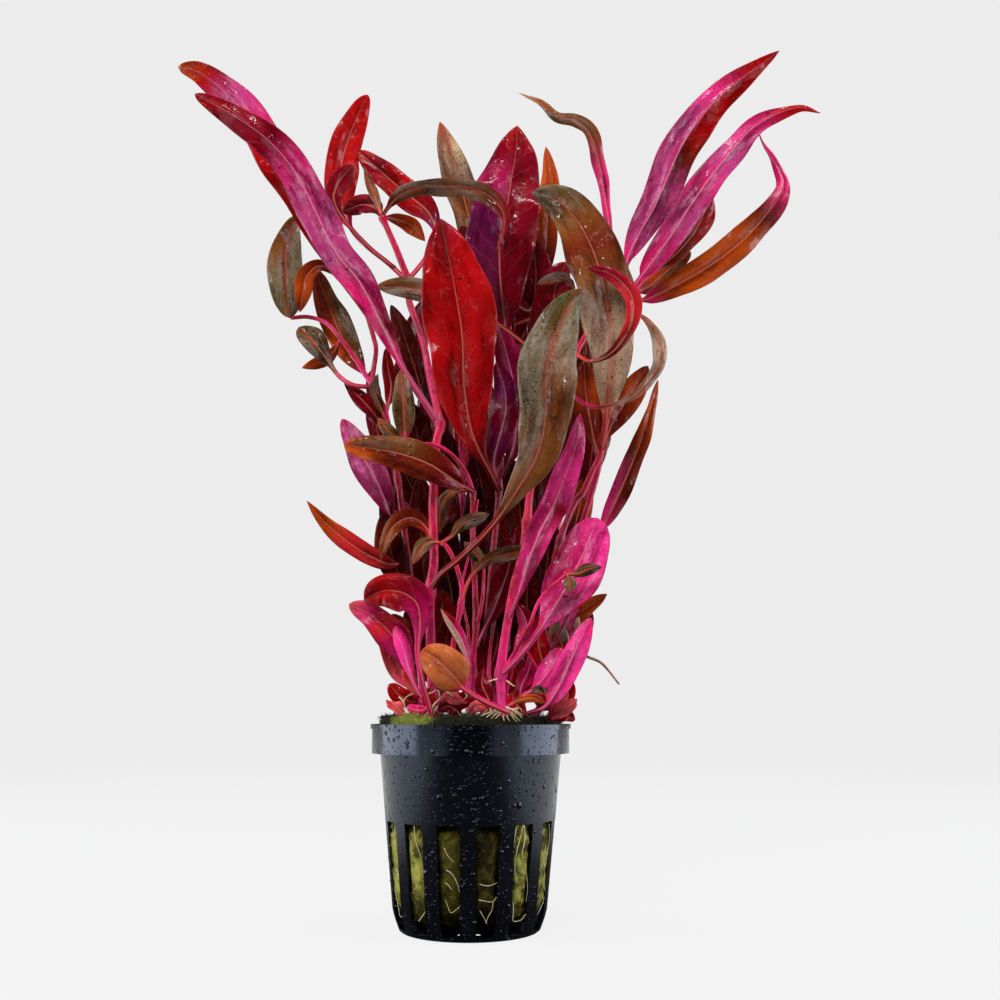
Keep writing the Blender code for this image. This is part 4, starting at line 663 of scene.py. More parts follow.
def smooth_mesh(shape, name):
    """A mesh of what was drawn in bmesh, shaded smooth"""
    mesh = bpy.data.meshes.new(name)
    shape.to_mesh(mesh)
    shape.free()
    mesh.polygons.foreach_set("use_smooth", [True] * len(mesh.polygons))
    return mesh


def unit(vectors):
    return vectors / np.linalg.norm(vectors, axis=-1, keepdims=True)


def smoothstep(low, high, value):
    t = np.clip((value - low) / (high - low), 0.0, 1.0)
    return t * t * (3 - 2 * t)


# Pieces that each span of a route is drawn in, and how far from a place its direction is
# measured, in mm and as a share of the route's length
SPAN_STEPS = 12
DIRECTION_REACH = 1.0
DIRECTION_SHARE = 1 / 8


def smooth_route(points):
    """A smooth curve through the given points, and how far along it each of its own lies"""
    points = np.array(points, float)
    padded = np.vstack((2 * points[0] - points[1], points, 2 * points[-1] - points[-2]))
    t = np.linspace(0, 1, SPAN_STEPS, endpoint=False)[:, None]
    spans = [0.5 * (2 * b + (c - a) * t + (2 * a - 5 * b + 4 * c - d) * t ** 2
                    + (3 * b - a - 3 * c + d) * t ** 3)
             for a, b, c, d in zip(padded, padded[1:], padded[2:], padded[3:])]
    fine = np.vstack(spans + [points[-1:]])
    steps = np.linalg.norm(np.diff(fine, axis=0), axis=1)
    return fine, np.concatenate(([0.0], np.cumsum(steps)))


def along(fine, lengths, distances):
    """Places and directions at distances along a smooth curve"""
    def place(d):
        return np.stack([np.interp(d, lengths, fine[:, k]) for k in range(3)], axis=-1)

    reach = min(DIRECTION_REACH, lengths[-1] * DIRECTION_SHARE)
    low = np.clip(distances - reach, 0, lengths[-1] - reach)
    high = np.clip(distances + reach, reach, lengths[-1])
    return place(distances), unit(place(high) - place(low))


# Painted shade on the crowded heart of the plant: what it takes from red, green and blue, and
# where it starts and fades again, in mm
HEART_SHADE = (0.78, 0.94, 0.96)
HEART_FRONT = (-13, -2)
HEART_BACK = (9, 22)
HEART_MIDDLE = 2
HEART_SIDES = (18, 34)
HEART_FOOT = (58, 74)
HEART_TOP = (140, 180)


def heart_shade(points):
    """What is left of a colour under the painted shade on the crowded leaves in the plant's heart,
    at points in mm
    """
    x, y, z = points.T
    shade = (smoothstep(*HEART_FRONT, y) * (1 - smoothstep(*HEART_BACK, y))
             * (1 - smoothstep(*HEART_SIDES, np.abs(x - HEART_MIDDLE)))
             * (smoothstep(*HEART_FOOT, z) * (1 - smoothstep(*HEART_TOP, z))))
    return 1 - shade[:, None] * np.array(HEART_SHADE)


class Growth:
    """Gathers the surfaces of one piece and makes its mesh"""

    def __init__(self):
        self.points, self.grain, self.tint, self.margin = [], [], [], []
        self.faces, self.finishes = [], []
        self.count = 0

    def add(self, points, faces, finish, grain, tint, margin):
        """Surfaces in millimetres; finish is one number or one for each face

        margin holds how near each point is to an edge or joint, and its place on a blade.
        """
        self.points.append(points)
        self.faces += [[i + self.count for i in face] for face in faces]
        self.finishes += finish if isinstance(finish, list) else [finish] * len(faces)
        self.grain.append(grain)
        self.tint.append(tint)
        self.margin.append(margin)
        self.count += len(points)

    def build(self, name, materials):
        mesh = bpy.data.meshes.new(name)
        mesh.from_pydata((np.vstack(self.points) * MM).tolist(), [], self.faces)
        for material in materials:
            mesh.materials.append(material)
        mesh.polygons.foreach_set("material_index", self.finishes)
        mesh.polygons.foreach_set("use_smooth", [True] * len(mesh.polygons))
        corners = np.zeros(len(mesh.loops), int)
        mesh.loops.foreach_get("vertex_index", corners)
        layer = mesh.uv_layers.new(name="grain")
        layer.data.foreach_set("uv", np.vstack(self.grain)[corners].ravel())
        tint = mesh.color_attributes.new("tint", "FLOAT_COLOR", "POINT")
        rgba = np.hstack((np.vstack(self.tint), np.ones((self.count, 1))))
        tint.data.foreach_set("color", rgba.ravel())
        for label, values in zip(("margin", "place"), np.vstack(self.margin).T):
            layer = mesh.attributes.new(label, "FLOAT", "POINT")
            layer.data.foreach_set("value", values.copy())
        mesh.validate()
        return add_object(name, mesh)


def palette():
    """Every plant colour by its name"""
    colours = bpy.context.scene.plant_colours
    return {name: np.array(getattr(colours, name)) for name in PlantColours.__annotations__}


# Share of the half-width over which the colours left and right of a midrib blend
SIDE_BLEND = 0.12


def run_of_colours(names, places, sides, colours):
    """Colours at places 0 to 1 along a blade and at sides -1 to 1 of its midrib"""
    stops = [stop.split("/") for stop in names.split()]
    at = np.linspace(0, 1, len(stops))
    halves = []
    for half in (0, -1):
        values = np.array([colours[stop[half]] for stop in stops])
        halves.append(np.stack([np.interp(places, at, values[:, k]) for k in range(3)], -1))
    right = smoothstep(-SIDE_BLEND, SIDE_BLEND, sides)[..., None]
    return halves[0] * (1 - right) + halves[1] * right


def blade_share(s, belly, foot_rounding, tip_rounding):
    """Half-width of a blade at s of its length, 1 at the belly; a low rounding is blunt"""
    rounding = np.where(s < belly, foot_rounding, tip_rounding)
    power = rounding * belly / (1 - belly)
    return (s / belly) ** power * (np.clip(1 - s, 0, 1) / (1 - belly)) ** rounding


# Columns of points across a large and a small blade, as shares of its half-width, and how
# much closer together its rows lie towards the tip
WIDE_COLUMNS = (0.04, 0.1, 0.2, 0.34, 0.5, 0.66, 0.81, 0.93, 1.0)
NARROW_COLUMNS = (0.12, 0.45, 0.85, 1.0)
TIP_CROWDING = 0.45

# Stalk: its half-width in mm, what each mm of blade adds to it and the share it loses towards
# the tip; then the half-width of a midrib, and the half-widths where a blade starts and is full
STALK_HALF = 0.42
STALK_SPREAD = 0.028
STALK_LOSS = 0.8
RIB_HALF = 0.5
RIB_LOSS = 0.75
BLADE_FULL = (0.2, 1.6)

# Waves along an edge, how high they are on the narrowest leaf and for each cm of width, the
# twist and unevenness of a blade, and the height in mm of the swells between its veins, of its
# creases and of the arch of each half
WAVES_PER_MM = 0.055
FEWEST_WAVES = 1.5
LEAST_WAVE = 0.25
WAVE_PER_CM = 0.75
SWAY = math.radians(9)
UNEVEN = 0.06
QUILT = 0.14
CREASE = 0.13
ARCH = 0.10
# How far from the midrib in mm the swells and the creases start and are full, how much the
# fold and the arch change along a leaf, and how wide the keel of the fold is in mm
QUILT_FULL = (0.5, 2.0)
CREASE_FULL = (0.6, 2.4)
FOLD_CHANGE = 0.7
KEEL = 0.6
# How flat a stalk is, and how much of a midrib's height is a groove in the top face
STALK_FLAT = 0.85
GROOVE = 0.3

# Where the rim colour of a blade starts and how much of it there is, where the colour of the
# stalk ends, and how far apart the grain of two leaves is taken, in mm
RIM_SHARE = 0.93
RIM_COLOUR = 0.4
STALK_COLOUR_END = 0.10
GRAIN_STEP = 37.0

# How pointed a blade is at its foot and tip, low is blunt, and the looks that differ
FOOT_ROUNDING = 0.85
TIP_ROUNDING = 0.64
SMALL_TIP = 0.86
SMALL_WIDTH = 5.2
FOOT_ROUNDINGS = {"curled_left": 1.7, "big_red": 0.8, "left_lobe": 1.2}
TIP_ROUNDINGS = {"mauve": 0.5, "long_left": 0.5, "broad": 0.5, "big_red": 0.8, "round": 0.5,
                 "big_olive": 0.82, "across": 0.48, "curled_left": 0.55, "left_lobe": 0.6,
                 "red": 0.54, "red_purple": 0.5, "top_right": 0.78, "right_pink": 0.8,
                 "low_orange": 1.15, "thin_curled": 0.8, "taupe_tip": 0.78,
                 "tall_crimson": 0.75, "orange_tip": 0.72, "hot": 0.55, "rose": 0.55}


def blade_faces(rows, count):
    """Faces over a grid of points for the top of a blade and one for its underside, and
    the finish of each: 0 on top, 1 below and at its ends. The two grids share their edges."""
    upper = np.arange((rows + 1) * count).reshape(rows + 1, count)
    lower = upper + upper.size
    lower[:, 0] = upper[:, 0]
    lower[:, -1] = upper[:, -1]
    faces = []
    finish = []
    for i in range(rows):
        for j in range(count - 1):
            faces.append((upper[i, j], upper[i, j + 1], upper[i + 1, j + 1], upper[i + 1, j]))
            faces.append((lower[i, j], lower[i + 1, j], lower[i + 1, j + 1], lower[i, j + 1]))
            finish += [0, 1]
    for j in range(count - 1):
        for i, order in ((0, 1), (rows, -1)):
            ring = [upper[i, j], lower[i, j], lower[i, j + 1], upper[i, j + 1]][::order]
            ring = [v for n, v in enumerate(ring) if v != ring[n - 1]]
            if len(ring) > 2:
                faces.append(ring)
                finish.append(1)
    return faces, finish


def blade_tint(look, names, s, sides, colours):
    """Colours of one face of a blade, with its rim and the colour of its stalk"""
    places = np.repeat(s[:, None], sides.shape[1], axis=1)
    tint = run_of_colours(names, places, sides, colours)
    rim = (smoothstep(RIM_SHARE, 1.0, np.abs(sides)) * RIM_COLOUR)[..., None]
    tint = tint * (1 - rim) + colours[look.rim] * rim
    foot = (1 - smoothstep(0.0, STALK_COLOUR_END, s))[:, None, None]
    return (tint * (1 - foot) + colours[look.stalk] * foot).reshape(-1, 3)


def add_blade(growth, plan, colours, rows, columns, phase, sink=0.0):
    """One leaf: its stalk and its blade with midrib, side veins and rippled edges"""
    sizes = bpy.context.scene.plant_sizes
    points = [spot(*place) for place in plan.route]
    fine, lengths = smooth_route(points)
    even = np.linspace(0, 1, rows + 1)
    share = even + TIP_CROWDING * even * (1 - even)
    middle, heading = along(fine, lengths, share * lengths[-1])
    middle[0] -= heading[0] * sink
    sight = unit(EYE - middle)
    facing = unit(sight - (sight * heading).sum(1, keepdims=True) * heading)
    sideways = np.cross(heading, facing)
    turn = np.radians(np.interp(share, np.linspace(0, 1, len(plan.roll)), plan.roll))[:, None]
    turn = turn + SWAY * plan.wave * (np.sin(7.5 * share + 1.9 * phase) * share)[:, None]
    up = np.cos(turn) * facing + np.sin(turn) * sideways
    side = np.cross(heading, up)

    s = np.clip((share - plan.stalk) / (1 - plan.stalk), 0, 1)
    stalk = (STALK_HALF + STALK_SPREAD * plan.width) * (1 - STALK_LOSS * s)
    usual_tip = SMALL_TIP if plan.width < SMALL_WIDTH else TIP_ROUNDING
    blade = plan.width / 2 * blade_share(s, plan.belly,
                                         FOOT_ROUNDINGS.get(plan.look, FOOT_ROUNDING),
                                         TIP_ROUNDINGS.get(plan.look, usual_tip))
    half = np.sqrt(blade ** 2 + stalk ** 2)
    spread = smoothstep(*BLADE_FULL, blade)[:, None]

    c = np.array([-v for v in reversed(columns)] + [0.0] + list(columns))[None, :]
    mm_along = (s * (1 - plan.stalk) * lengths[-1])[:, None]
    uneven = UNEVEN * np.sin(math.pi * s)[:, None]
    left = 1 + uneven * np.sin(0.33 * mm_along + 2.3 * phase)
    right = 1 + uneven * np.sin(0.27 * mm_along + 3.1 * phase + 1.0)
    x = half[:, None] * c * np.where(c < 0, left, right)
    cup = plan.fold * (1 + FOLD_CHANGE * np.sin(0.19 * mm_along + phase))
    lift = cup * (np.sqrt(x ** 2 + KEEL ** 2) - KEEL)
    ripple = sizes.ripple / MM * plan.wave * (LEAST_WAVE + WAVE_PER_CM * plan.width / 10)
    tone = 2 * math.pi * max(WAVES_PER_MM, FEWEST_WAVES / lengths[-1]) * mm_along + phase
    envelope = np.sin(math.pi * s)[:, None] ** 0.6 * np.abs(c) ** 2.2
    lift = lift + ripple * envelope * np.where(c < 0, np.sin(tone), np.sin(1.17 * tone + 2.1))
    gap = sizes.vein_gap / MM
    beat = mm_along + 0.35 * gap * np.sin(0.6 * mm_along + phase)
    quilt = np.cos(2 * math.pi * (beat - 0.8 * np.abs(x)) / gap + np.where(c < 0, 0.0, 1.6))
    lift = lift + QUILT * quilt * smoothstep(*QUILT_FULL, np.abs(x)) * (1 - np.abs(c) ** 4)
    crease = np.sin(1.9 * x + 0.5 * mm_along + phase) * np.sin(0.41 * mm_along + 2 * phase)
    lift = lift + CREASE * crease * smoothstep(*CREASE_FULL, np.abs(x))
    change = np.where(c < 0, np.sin(0.17 * mm_along + phase), np.cos(0.21 * mm_along))
    arch = ARCH * half[:, None] * np.sin(math.pi * np.abs(c)) * (1 + FOLD_CHANGE * change)
    lift = (lift + arch) * spread

    round_off = np.sqrt(np.clip(1 - c ** 2, 0, 1))
    thick = sizes.blade_thick / MM / 2 * np.clip(1 - np.abs(c) ** 3, 0, 1)
    rib = np.exp(-(x / RIB_HALF) ** 2) * (1 - RIB_LOSS * s[:, None]) * sizes.rib_height / MM
    stalk_round = stalk[:, None] * STALK_FLAT * round_off
    above = spread * (thick - GROOVE * rib) + (1 - spread) * stalk_round
    below = spread * (thick + rib) + (1 - spread) * stalk_round

    def surface(height):
        return middle[:, None] + side[:, None] * x[..., None] + up[:, None] * height[..., None]

    count = c.shape[1]
    points = np.vstack([surface(height).reshape(-1, 3) for height in (lift + above, lift - below)])
    look = LOOKS[plan.look]
    sides = np.repeat(c, rows + 1, axis=0)
    tints = [blade_tint(look, names, s, sides, colours) for names in (look.top, look.under)]
    grain = np.stack((np.repeat(mm_along + GRAIN_STEP * phase, count, axis=1), x), axis=-1)
    grain = grain.reshape(-1, 2) / 10
    margin = np.stack((np.abs(sides), np.repeat(s[:, None], count, axis=1)), axis=-1)
    margin = margin.reshape(-1, 2)
    faces, finish = blade_faces(rows, count)
    used = np.unique(np.concatenate([np.array(face) for face in faces]))
    renumber = np.zeros(len(points), int)
    renumber[used] = np.arange(len(used))
    faces = [[int(renumber[v]) for v in face] for face in faces]
    # The tints carry the painted shade of the plant's heart
    growth.add(points[used], faces, finish, np.vstack((grain, grain))[used],
               (np.vstack(tints) * heart_shade(points))[used],
               np.vstack((margin, margin))[used])


# Stems: sides, mm between rows, how far the foot's end stands out in mm and the other end as a
# share of its radius, how much a joint swells and how far it reaches in mm, how uneven the
# thickness is, how high the ribs stand, how dark a joint is, and how much of the heart's painted
# shade falls on a stem
STEM_SIDES = 14
STEM_ROW_MM = 0.9
FOOT_END = 0.2
TOP_END = 0.6
NODE_SWELL = 0.42
NODE_REACH = 1.7
STEM_UNEVEN = 0.04
STEM_RIBS = 0.05
NODE_COLOUR = 0.35
STEM_SHADE = 0.65


def add_stem(growth, plan, colours, phase, sink):
    """A ribbed stem, thicker at its foot and swollen at its joints, with rounded ends"""
    points = [spot(*place) for place in plan.route]
    fine, lengths = smooth_route(points)
    total = lengths[-1]
    joints = [lengths[index * SPAN_STEPS] for index in plan.joints]
    rows = max(8, int(total / STEM_ROW_MM))
    distance = np.linspace(0, total, rows + 1)
    middle, heading = along(fine, lengths, distance)
    middle[0] -= heading[0] * sink
    radius = plan.thick / 2 * (1 + (plan.taper - 1) * distance / total)
    knot = np.zeros_like(distance)
    for place in joints:
        knot = np.maximum(knot, np.exp(-((distance - place) / NODE_REACH) ** 2))
    radius = radius * (1 + NODE_SWELL * knot)
    radius = radius * (1 + STEM_UNEVEN * np.sin(distance * 0.35 + phase))
    side = np.array((1.0, 0.0, 0.0))
    sides = []
    for direction in heading:
        side = side - side.dot(direction) * direction
        side = side / np.linalg.norm(side)
        sides.append(side)
    sides = np.array(sides)
    across = np.cross(heading, sides)
    turn = np.linspace(0, 2 * math.pi, STEM_SIDES, endpoint=False)[None, :]
    ribbed = radius[:, None] * (1 + STEM_RIBS * np.cos(4 * turn + phase))
    ring = (middle[:, None] + (ribbed * np.cos(turn))[..., None] * sides[:, None]
            + (ribbed * np.sin(turn))[..., None] * across[:, None])
    ends = np.stack((middle[0] - heading[0] * FOOT_END,
                     middle[-1] + heading[-1] * radius[-1] * TOP_END))
    points = np.vstack((ring.reshape(-1, 3), ends))
    first, last = len(points) - 2, len(points) - 1
    faces = []
    for i in range(rows):
        for j in range(STEM_SIDES):
            k = (j + 1) % STEM_SIDES
            low, high = i * STEM_SIDES, (i + 1) * STEM_SIDES
            faces.append((low + j, low + k, high + k, high + j))
    for j in range(STEM_SIDES):
        k = (j + 1) % STEM_SIDES
        faces.append((first, k, j))
        faces.append((last, rows * STEM_SIDES + j, rows * STEM_SIDES + k))
    tint = run_of_colours(LOOKS[plan.look].top, distance / total, np.zeros_like(distance),
                          colours)
    shade = (NODE_COLOUR * knot)[:, None]
    tint = tint * (1 - shade) + colours["crimson"] * shade
    tint = np.vstack((np.repeat(tint, STEM_SIDES, axis=0), tint[:1], tint[-1:]))
    band = np.abs(np.linspace(-1, 1, STEM_SIDES, endpoint=False))
    grain = np.stack((np.repeat(distance, STEM_SIDES), np.tile(band, rows + 1)), -1) / 10
    grain = np.vstack((grain, (0, 0), (total / 10, 0)))
    margin = np.zeros((len(points), 2))
    margin[:-2, 0] = np.repeat(knot, STEM_SIDES)
    # Part of the painted shade of the heart falls on the stem's tint
    growth.add(points, faces, 2, grain, tint * heart_shade(points) ** STEM_SHADE, margin)


# Radius of the smallest bead of damp, as a share of its cell
SMALLEST_BEAD = 0.10


class Shader:
    """Builds a material's nodes with a few short calls"""

    def __init__(self, name):
        self.material = bpy.data.materials.new(name)
        self.material.use_nodes = True
        self.tree = self.material.node_tree
        self.surface = self.tree.nodes["Principled BSDF"]

    def node(self, kind, **settings):
        made = self.tree.nodes.new(kind)
        for name, value in settings.items():
            setattr(made, name, value)
        return made

    def join(self, value, socket):
        if isinstance(value, bpy.types.NodeSocket):
            self.tree.links.new(value, socket)
        else:
            socket.default_value = value

    def set(self, **values):
        """Principled inputs, with _ for a space in their names"""
        for name, value in values.items():
            self.join(value, self.surface.inputs[name.replace("_", " ")])

    def math(self, operation, a, b=0.0, clamp=False):
        made = self.node("ShaderNodeMath", operation=operation, use_clamp=clamp)
        self.join(a, made.inputs[0])
        self.join(b, made.inputs[1])
        return made.outputs[0]

    def times(self, a, b):
        return self.math("MULTIPLY", a, b)

    def plus(self, a, b):
        return self.math("ADD", a, b)

    def minus(self, a, b):
        return self.math("SUBTRACT", a, b)

    def split(self, vector):
        """The three parts of a vector"""
        made = self.node("ShaderNodeSeparateXYZ")
        self.join(vector, made.inputs[0])
        return made.outputs

    def step(self, value, low, high, out_low=0.0, out_high=1.0):
        made = self.node("ShaderNodeMapRange", interpolation_type="SMOOTHSTEP")
        for socket, number in zip(made.inputs, (value, low, high, out_low, out_high)):
            self.join(number, socket)
        return made.outputs[0]

    def mix(self, share, a, b, mode="MIX"):
        made = self.node("ShaderNodeMix", data_type="RGBA", blend_type=mode)
        self.join(share, made.inputs[0])
        for value, socket in ((a, made.inputs[6]), (b, made.inputs[7])):
            self.join(value if not isinstance(value, tuple) else (*value, 1.0), socket)
        return made.outputs[2]

    def stretched(self, vector, stretch):
        """A vector for a pattern that runs one way"""
        made = self.node("ShaderNodeMapping")
        self.join(vector, made.inputs["Vector"])
        self.join(stretch, made.inputs["Scale"])
        return made.outputs[0]

    def place(self):
        return self.node("ShaderNodeTexCoord").outputs["Object"]

    def attribute(self, name, output="Color"):
        return self.node("ShaderNodeAttribute", attribute_name=name).outputs[output]

    def noise(self, vector, scale, detail=2.0, rough=0.5, **settings):
        made = self.node("ShaderNodeTexNoise", **settings)
        for name, value in zip(("Vector", "Scale", "Detail", "Roughness"),
                               (vector, scale, detail, rough)):
            self.join(value, made.inputs[name])
        return made.outputs[0]

    def cells(self, vector, scale):
        """Outputs of a pattern of cells: how far each point is from its cell's middle first"""
        made = self.node("ShaderNodeTexVoronoi")
        self.join(vector, made.inputs["Vector"])
        self.join(scale, made.inputs["Scale"])
        return made.outputs

    def shaded(self, share, colour, factor):
        """The colour, times a factor for red, green and blue where share is 1"""
        return self.mix(share, colour, self.mix(1.0, colour, factor, "MULTIPLY"))

    def bump(self, height, strength, depth, normal=None):
        made = self.node("ShaderNodeBump")
        self.join(strength, made.inputs["Strength"])
        self.join(depth, made.inputs["Distance"])
        self.join(height, made.inputs["Height"])
        if normal is not None:
            self.join(normal, made.inputs["Normal"])
        return made.outputs[0]

    def beads(self, scale, kept, largest=0.36):
        """Height of round beads of damp of many sizes, one in some of the cells"""
        cells = self.cells(self.place(), scale)
        draw = self.split(cells["Color"])
        reach = self.step(draw[0], 0.0, 1.0, SMALLEST_BEAD, largest)
        share = self.math("DIVIDE", cells["Distance"], reach)
        dome = self.math("SUBTRACT", 1.0, self.times(share, share), True)
        chosen = self.math("LESS_THAN", draw[1], kept)
        return self.times(self.math("SQRT", dome), chosen)


# Distance between side veins in cm, and the share of it that a vein on the right lies ahead
SIDE_VEIN_CM = 0.5
VEIN_OFFSET = 0.17
# Colours of the pale frosted film with painted sheen on an underside, of the grey bloom with
# painted sheen on an olive face and of its warm midrib, and of the midrib on the two faces
FROST_AND_SHEEN = srgb(232, 160, 196)
BLOOM_AND_SHEEN = srgb(186, 168, 158)
WARM = srgb(150, 62, 20)
FACE_RIB = srgb(226, 116, 98)
UNDER_RIB = srgb(246, 132, 168)
# Patterns of a leaf, as repeats in a metre: clouds that bend its veins, speckle, pores,
# flecks, two sizes of dots and their patches, patches of veins, wrinkles, wet patches, swells
# of the wet film, and beads of damp
CLOUDS = 150.0
SPECKLE = 1500.0
PORES = 3600.0
FLECKS = 620.0
DOTS = (720.0, 1300.0)
DOT_PATCHES = 260.0
VEIN_PATCHES = 90.0
WRINKLES = 480.0
WET_PATCHES = 190.0
FILM_SWELLS = 210.0
LEAF_BEADS = 430.0
# What is left of red, green and blue in the dark parts of a leaf, the hollow beside a midrib being
# painted shade, and in its light ones, where the light patches are partly painted sheen and the
# light pores partly painted glints
STREAK_SHADE = (0.4, 0.28, 0.32)
PORE_SHADE = (0.5, 0.4, 0.4)
GRIT_SHADE = (0.5, 0.42, 0.45)
HOLLOW_SHADE = (0.6, 0.42, 0.45)
FLECK_SHADE = (0.4, 0.2, 0.36)
DOT_SHADE = (0.1, 0.09, 0.08)
PATCH_LIGHT = (1.35, 1.5, 1.5)
PORE_LIGHT = (1.5, 1.7, 1.7)


def blade_material(name, rib_colour, specks, film):
    """A leaf's face: tint with midrib, faint side veins, long streaks, flecks, wet patches

    specks is how many dark dots it has and film how strong its pale frosted film with painted
    sheen is, 0 for none.
    """
    make = Shader(name)
    tint = make.attribute("tint")
    margin = make.attribute("margin", "Fac")
    tip = make.attribute("place", "Fac")
    where = make.place()
    grain = make.node("ShaderNodeUVMap", uv_map="grain").outputs[0]
    length, across, _ = make.split(grain)
    out = make.math("ABSOLUTE", across)
    drawn = make.stretched(grain, (0.4, 1.5, 1.0))

    cloud = make.noise(where, CLOUDS, 4.0, 0.6)
    wobble = make.times(make.minus(cloud, 0.5), 0.5)
    paired = make.times(make.math("GREATER_THAN", across, 0.0), VEIN_OFFSET)
    slant = make.plus(make.times(out, 1.05), wobble)
    run = make.minus(make.plus(length, paired), slant)
    beat = make.math("FRACT", make.math("DIVIDE", run, SIDE_VEIN_CM))
    off = make.math("ABSOLUTE", make.minus(beat, 0.5))
    inside = make.step(margin, 0.95, 0.6)
    vein = make.times(make.step(off, 0.06, 0.0), inside)
    half_rib = make.step(tip, 0.0, 1.0, 0.034, 0.012)
    rib = make.step(make.math("DIVIDE", out, half_rib), 1.0, 0.45)
    rib = make.times(rib, make.step(tip, 0.55, 1.0, 1.0, 0.3))
    hollow_shade = make.step(out, 0.15, 0.02)

    red, green, blue = make.split(tint)
    olive = make.step(make.math("DIVIDE", green, red), 0.2, 0.5)
    streak = make.noise(drawn, 1.6, 4.0, 0.6)
    patch = make.noise(drawn, 0.8, 3.0, 0.55)
    speckle = make.noise(where, SPECKLE, 3.0, 0.7)
    colour = make.shaded(make.step(streak, 0.48, 0.66, 0.0, 0.9), tint, STREAK_SHADE)
    # Light patches: partly the leaf's tone, partly painted sheen
    colour = make.mix(make.step(patch, 0.48, 0.3, 0.0, 0.8), colour,
                      make.mix(1.0, tint, PATCH_LIGHT, "MULTIPLY"))
    pore = make.noise(where, PORES, 2.0, 0.6)
    grainy = 0.25 if film else make.step(olive, 0.0, 1.0, 0.25, 0.8)
    colour = make.shaded(make.step(pore, 0.5, 0.64, 0.0, grainy), colour, PORE_SHADE)
    # Light pores: partly grain, partly painted glints
    colour = make.shaded(make.step(pore, 0.46, 0.34, 0.0, grainy), colour, PORE_LIGHT)
    grit = make.times(make.step(speckle, 0.50, 0.68), make.step(olive, 0.0, 1.0, 0.3, 0.85))
    colour = make.shaded(grit, colour, GRIT_SHADE)
    # Painted shade in the hollow beside the midrib
    colour = make.shaded(make.times(hollow_shade, 0.5), colour, HOLLOW_SHADE)
    if film:
        # A pale frosted film with painted sheen over an underside
        frost_and_sheen = make.step(make.noise(drawn, 2.6, 6.0, 0.72), 0.49, 0.64, 0.0, film)
        bluish = make.step(make.math("DIVIDE", blue, red), 0.08, 0.3)
        frost_and_sheen = make.times(frost_and_sheen, bluish)
        frost_and_sheen = make.times(frost_and_sheen, make.step(red, 0.12, 0.4))
        colour = make.mix(frost_and_sheen, colour, make.mix(0.55, colour, FROST_AND_SHEEN))
        fleck = make.step(make.noise(where, FLECKS, 3.0, 0.6), 0.58, 0.66, 0.0, 0.45)
        colour = make.shaded(fleck, colour, FLECK_SHADE)
    else:
        # Grey bloom with painted sheen on an olive face
        bloom_and_sheen = make.step(make.noise(drawn, 1.5, 7.0, 0.76), 0.45, 0.60, 0.0, 0.75)
        bloom_and_sheen = make.times(bloom_and_sheen, olive)
        colour = make.mix(bloom_and_sheen, colour, make.mix(0.45, tint, BLOOM_AND_SHEEN))
        warm = make.times(make.step(out, 0.2, 0.0, 0.0, 0.8), olive)
        warm = make.times(warm, make.step(streak, 0.6, 0.4))
        colour = make.mix(warm, colour, WARM)
        rib = make.times(rib, make.step(olive, 0.0, 1.0, 1.0, 0.6))
    if specks:
        dots = make.math("MAXIMUM", make.step(make.cells(where, DOTS[0])[0], 0.24, 0.10),
                         make.step(make.cells(where, DOTS[1])[0], 0.20, 0.08, 0.0, 0.7))
        some = make.step(make.noise(where, DOT_PATCHES, 1.0), 0.44, 0.52, 0.0, specks)
        some = make.times(some, make.step(olive, 0.0, 1.0, 0.35, 1.0))
        colour = make.shaded(make.times(dots, some), colour, DOT_SHADE)
    faint = make.step(make.noise(where, VEIN_PATCHES, 1.0), 0.35, 0.65, 0.03, 0.24)
    colour = make.mix(make.times(vein, faint), colour, make.mix(0.4, tint, rib_colour))
    # Painted shade: the midrib is dimmed on dark, non-olive leaves
    dim = make.times(make.step(red, 0.2, 0.06), make.step(olive, 0.5, 0.1))
    rib = make.times(rib, make.step(dim, 0.0, 1.0, 0.65, 0.16))
    colour = make.mix(rib, colour, rib_colour)

    wrinkle = make.noise(where, WRINKLES, 3.0, 0.55)
    wet = make.step(make.noise(where, WET_PATCHES, 3.0, 0.5), 0.51, 0.57)
    gloss = make.step(speckle, 0.3, 0.7, 0.34, 0.5)
    gloss = make.minus(gloss, make.times(wet, 0.26))
    height = make.plus(make.times(speckle, 0.10), make.times(vein, 0.2 if film else -0.2))
    height = make.plus(height, make.times(wrinkle, 0.9))
    height = make.plus(height, make.times(streak, 1.2))
    relief = make.bump(height, 0.75, 0.00032)
    beads = make.beads(LEAF_BEADS, 0.16)
    relief = make.bump(beads, 0.8, 0.0006, relief)
    film_height = make.plus(make.noise(where, FILM_SWELLS, 2.0, 0.5), make.times(streak, 0.6))
    water = make.bump(beads, 0.8, 0.0006, make.bump(film_height, 0.8, 0.0008))
    film_share = make.times(make.step(red, 0.02, 0.16), make.step(wet, 0.0, 1.0, 0.08, 0.6))
    make.set(Base_Color=colour, Roughness=gloss, Normal=relief, Coat_Weight=film_share,
             Coat_Roughness=0.08, Coat_Normal=water, Sheen_Weight=0.02, Sheen_Roughness=0.5,
             Specular_IOR_Level=0.05)
    return make.material


# Patterns of a stem's skin, as repeats in a metre, the colour of its light streaks, partly painted
# highlights, and what is left of red, green and blue in its patches
SKIN_STREAKS = 2200.0
SKIN_PATCHES = 230.0
SKIN_BEADS = 900.0
SKIN_STREAK_AND_HIGHLIGHT = srgb(255, 96, 150)
SKIN_SHADE = (0.45, 0.22, 0.3)


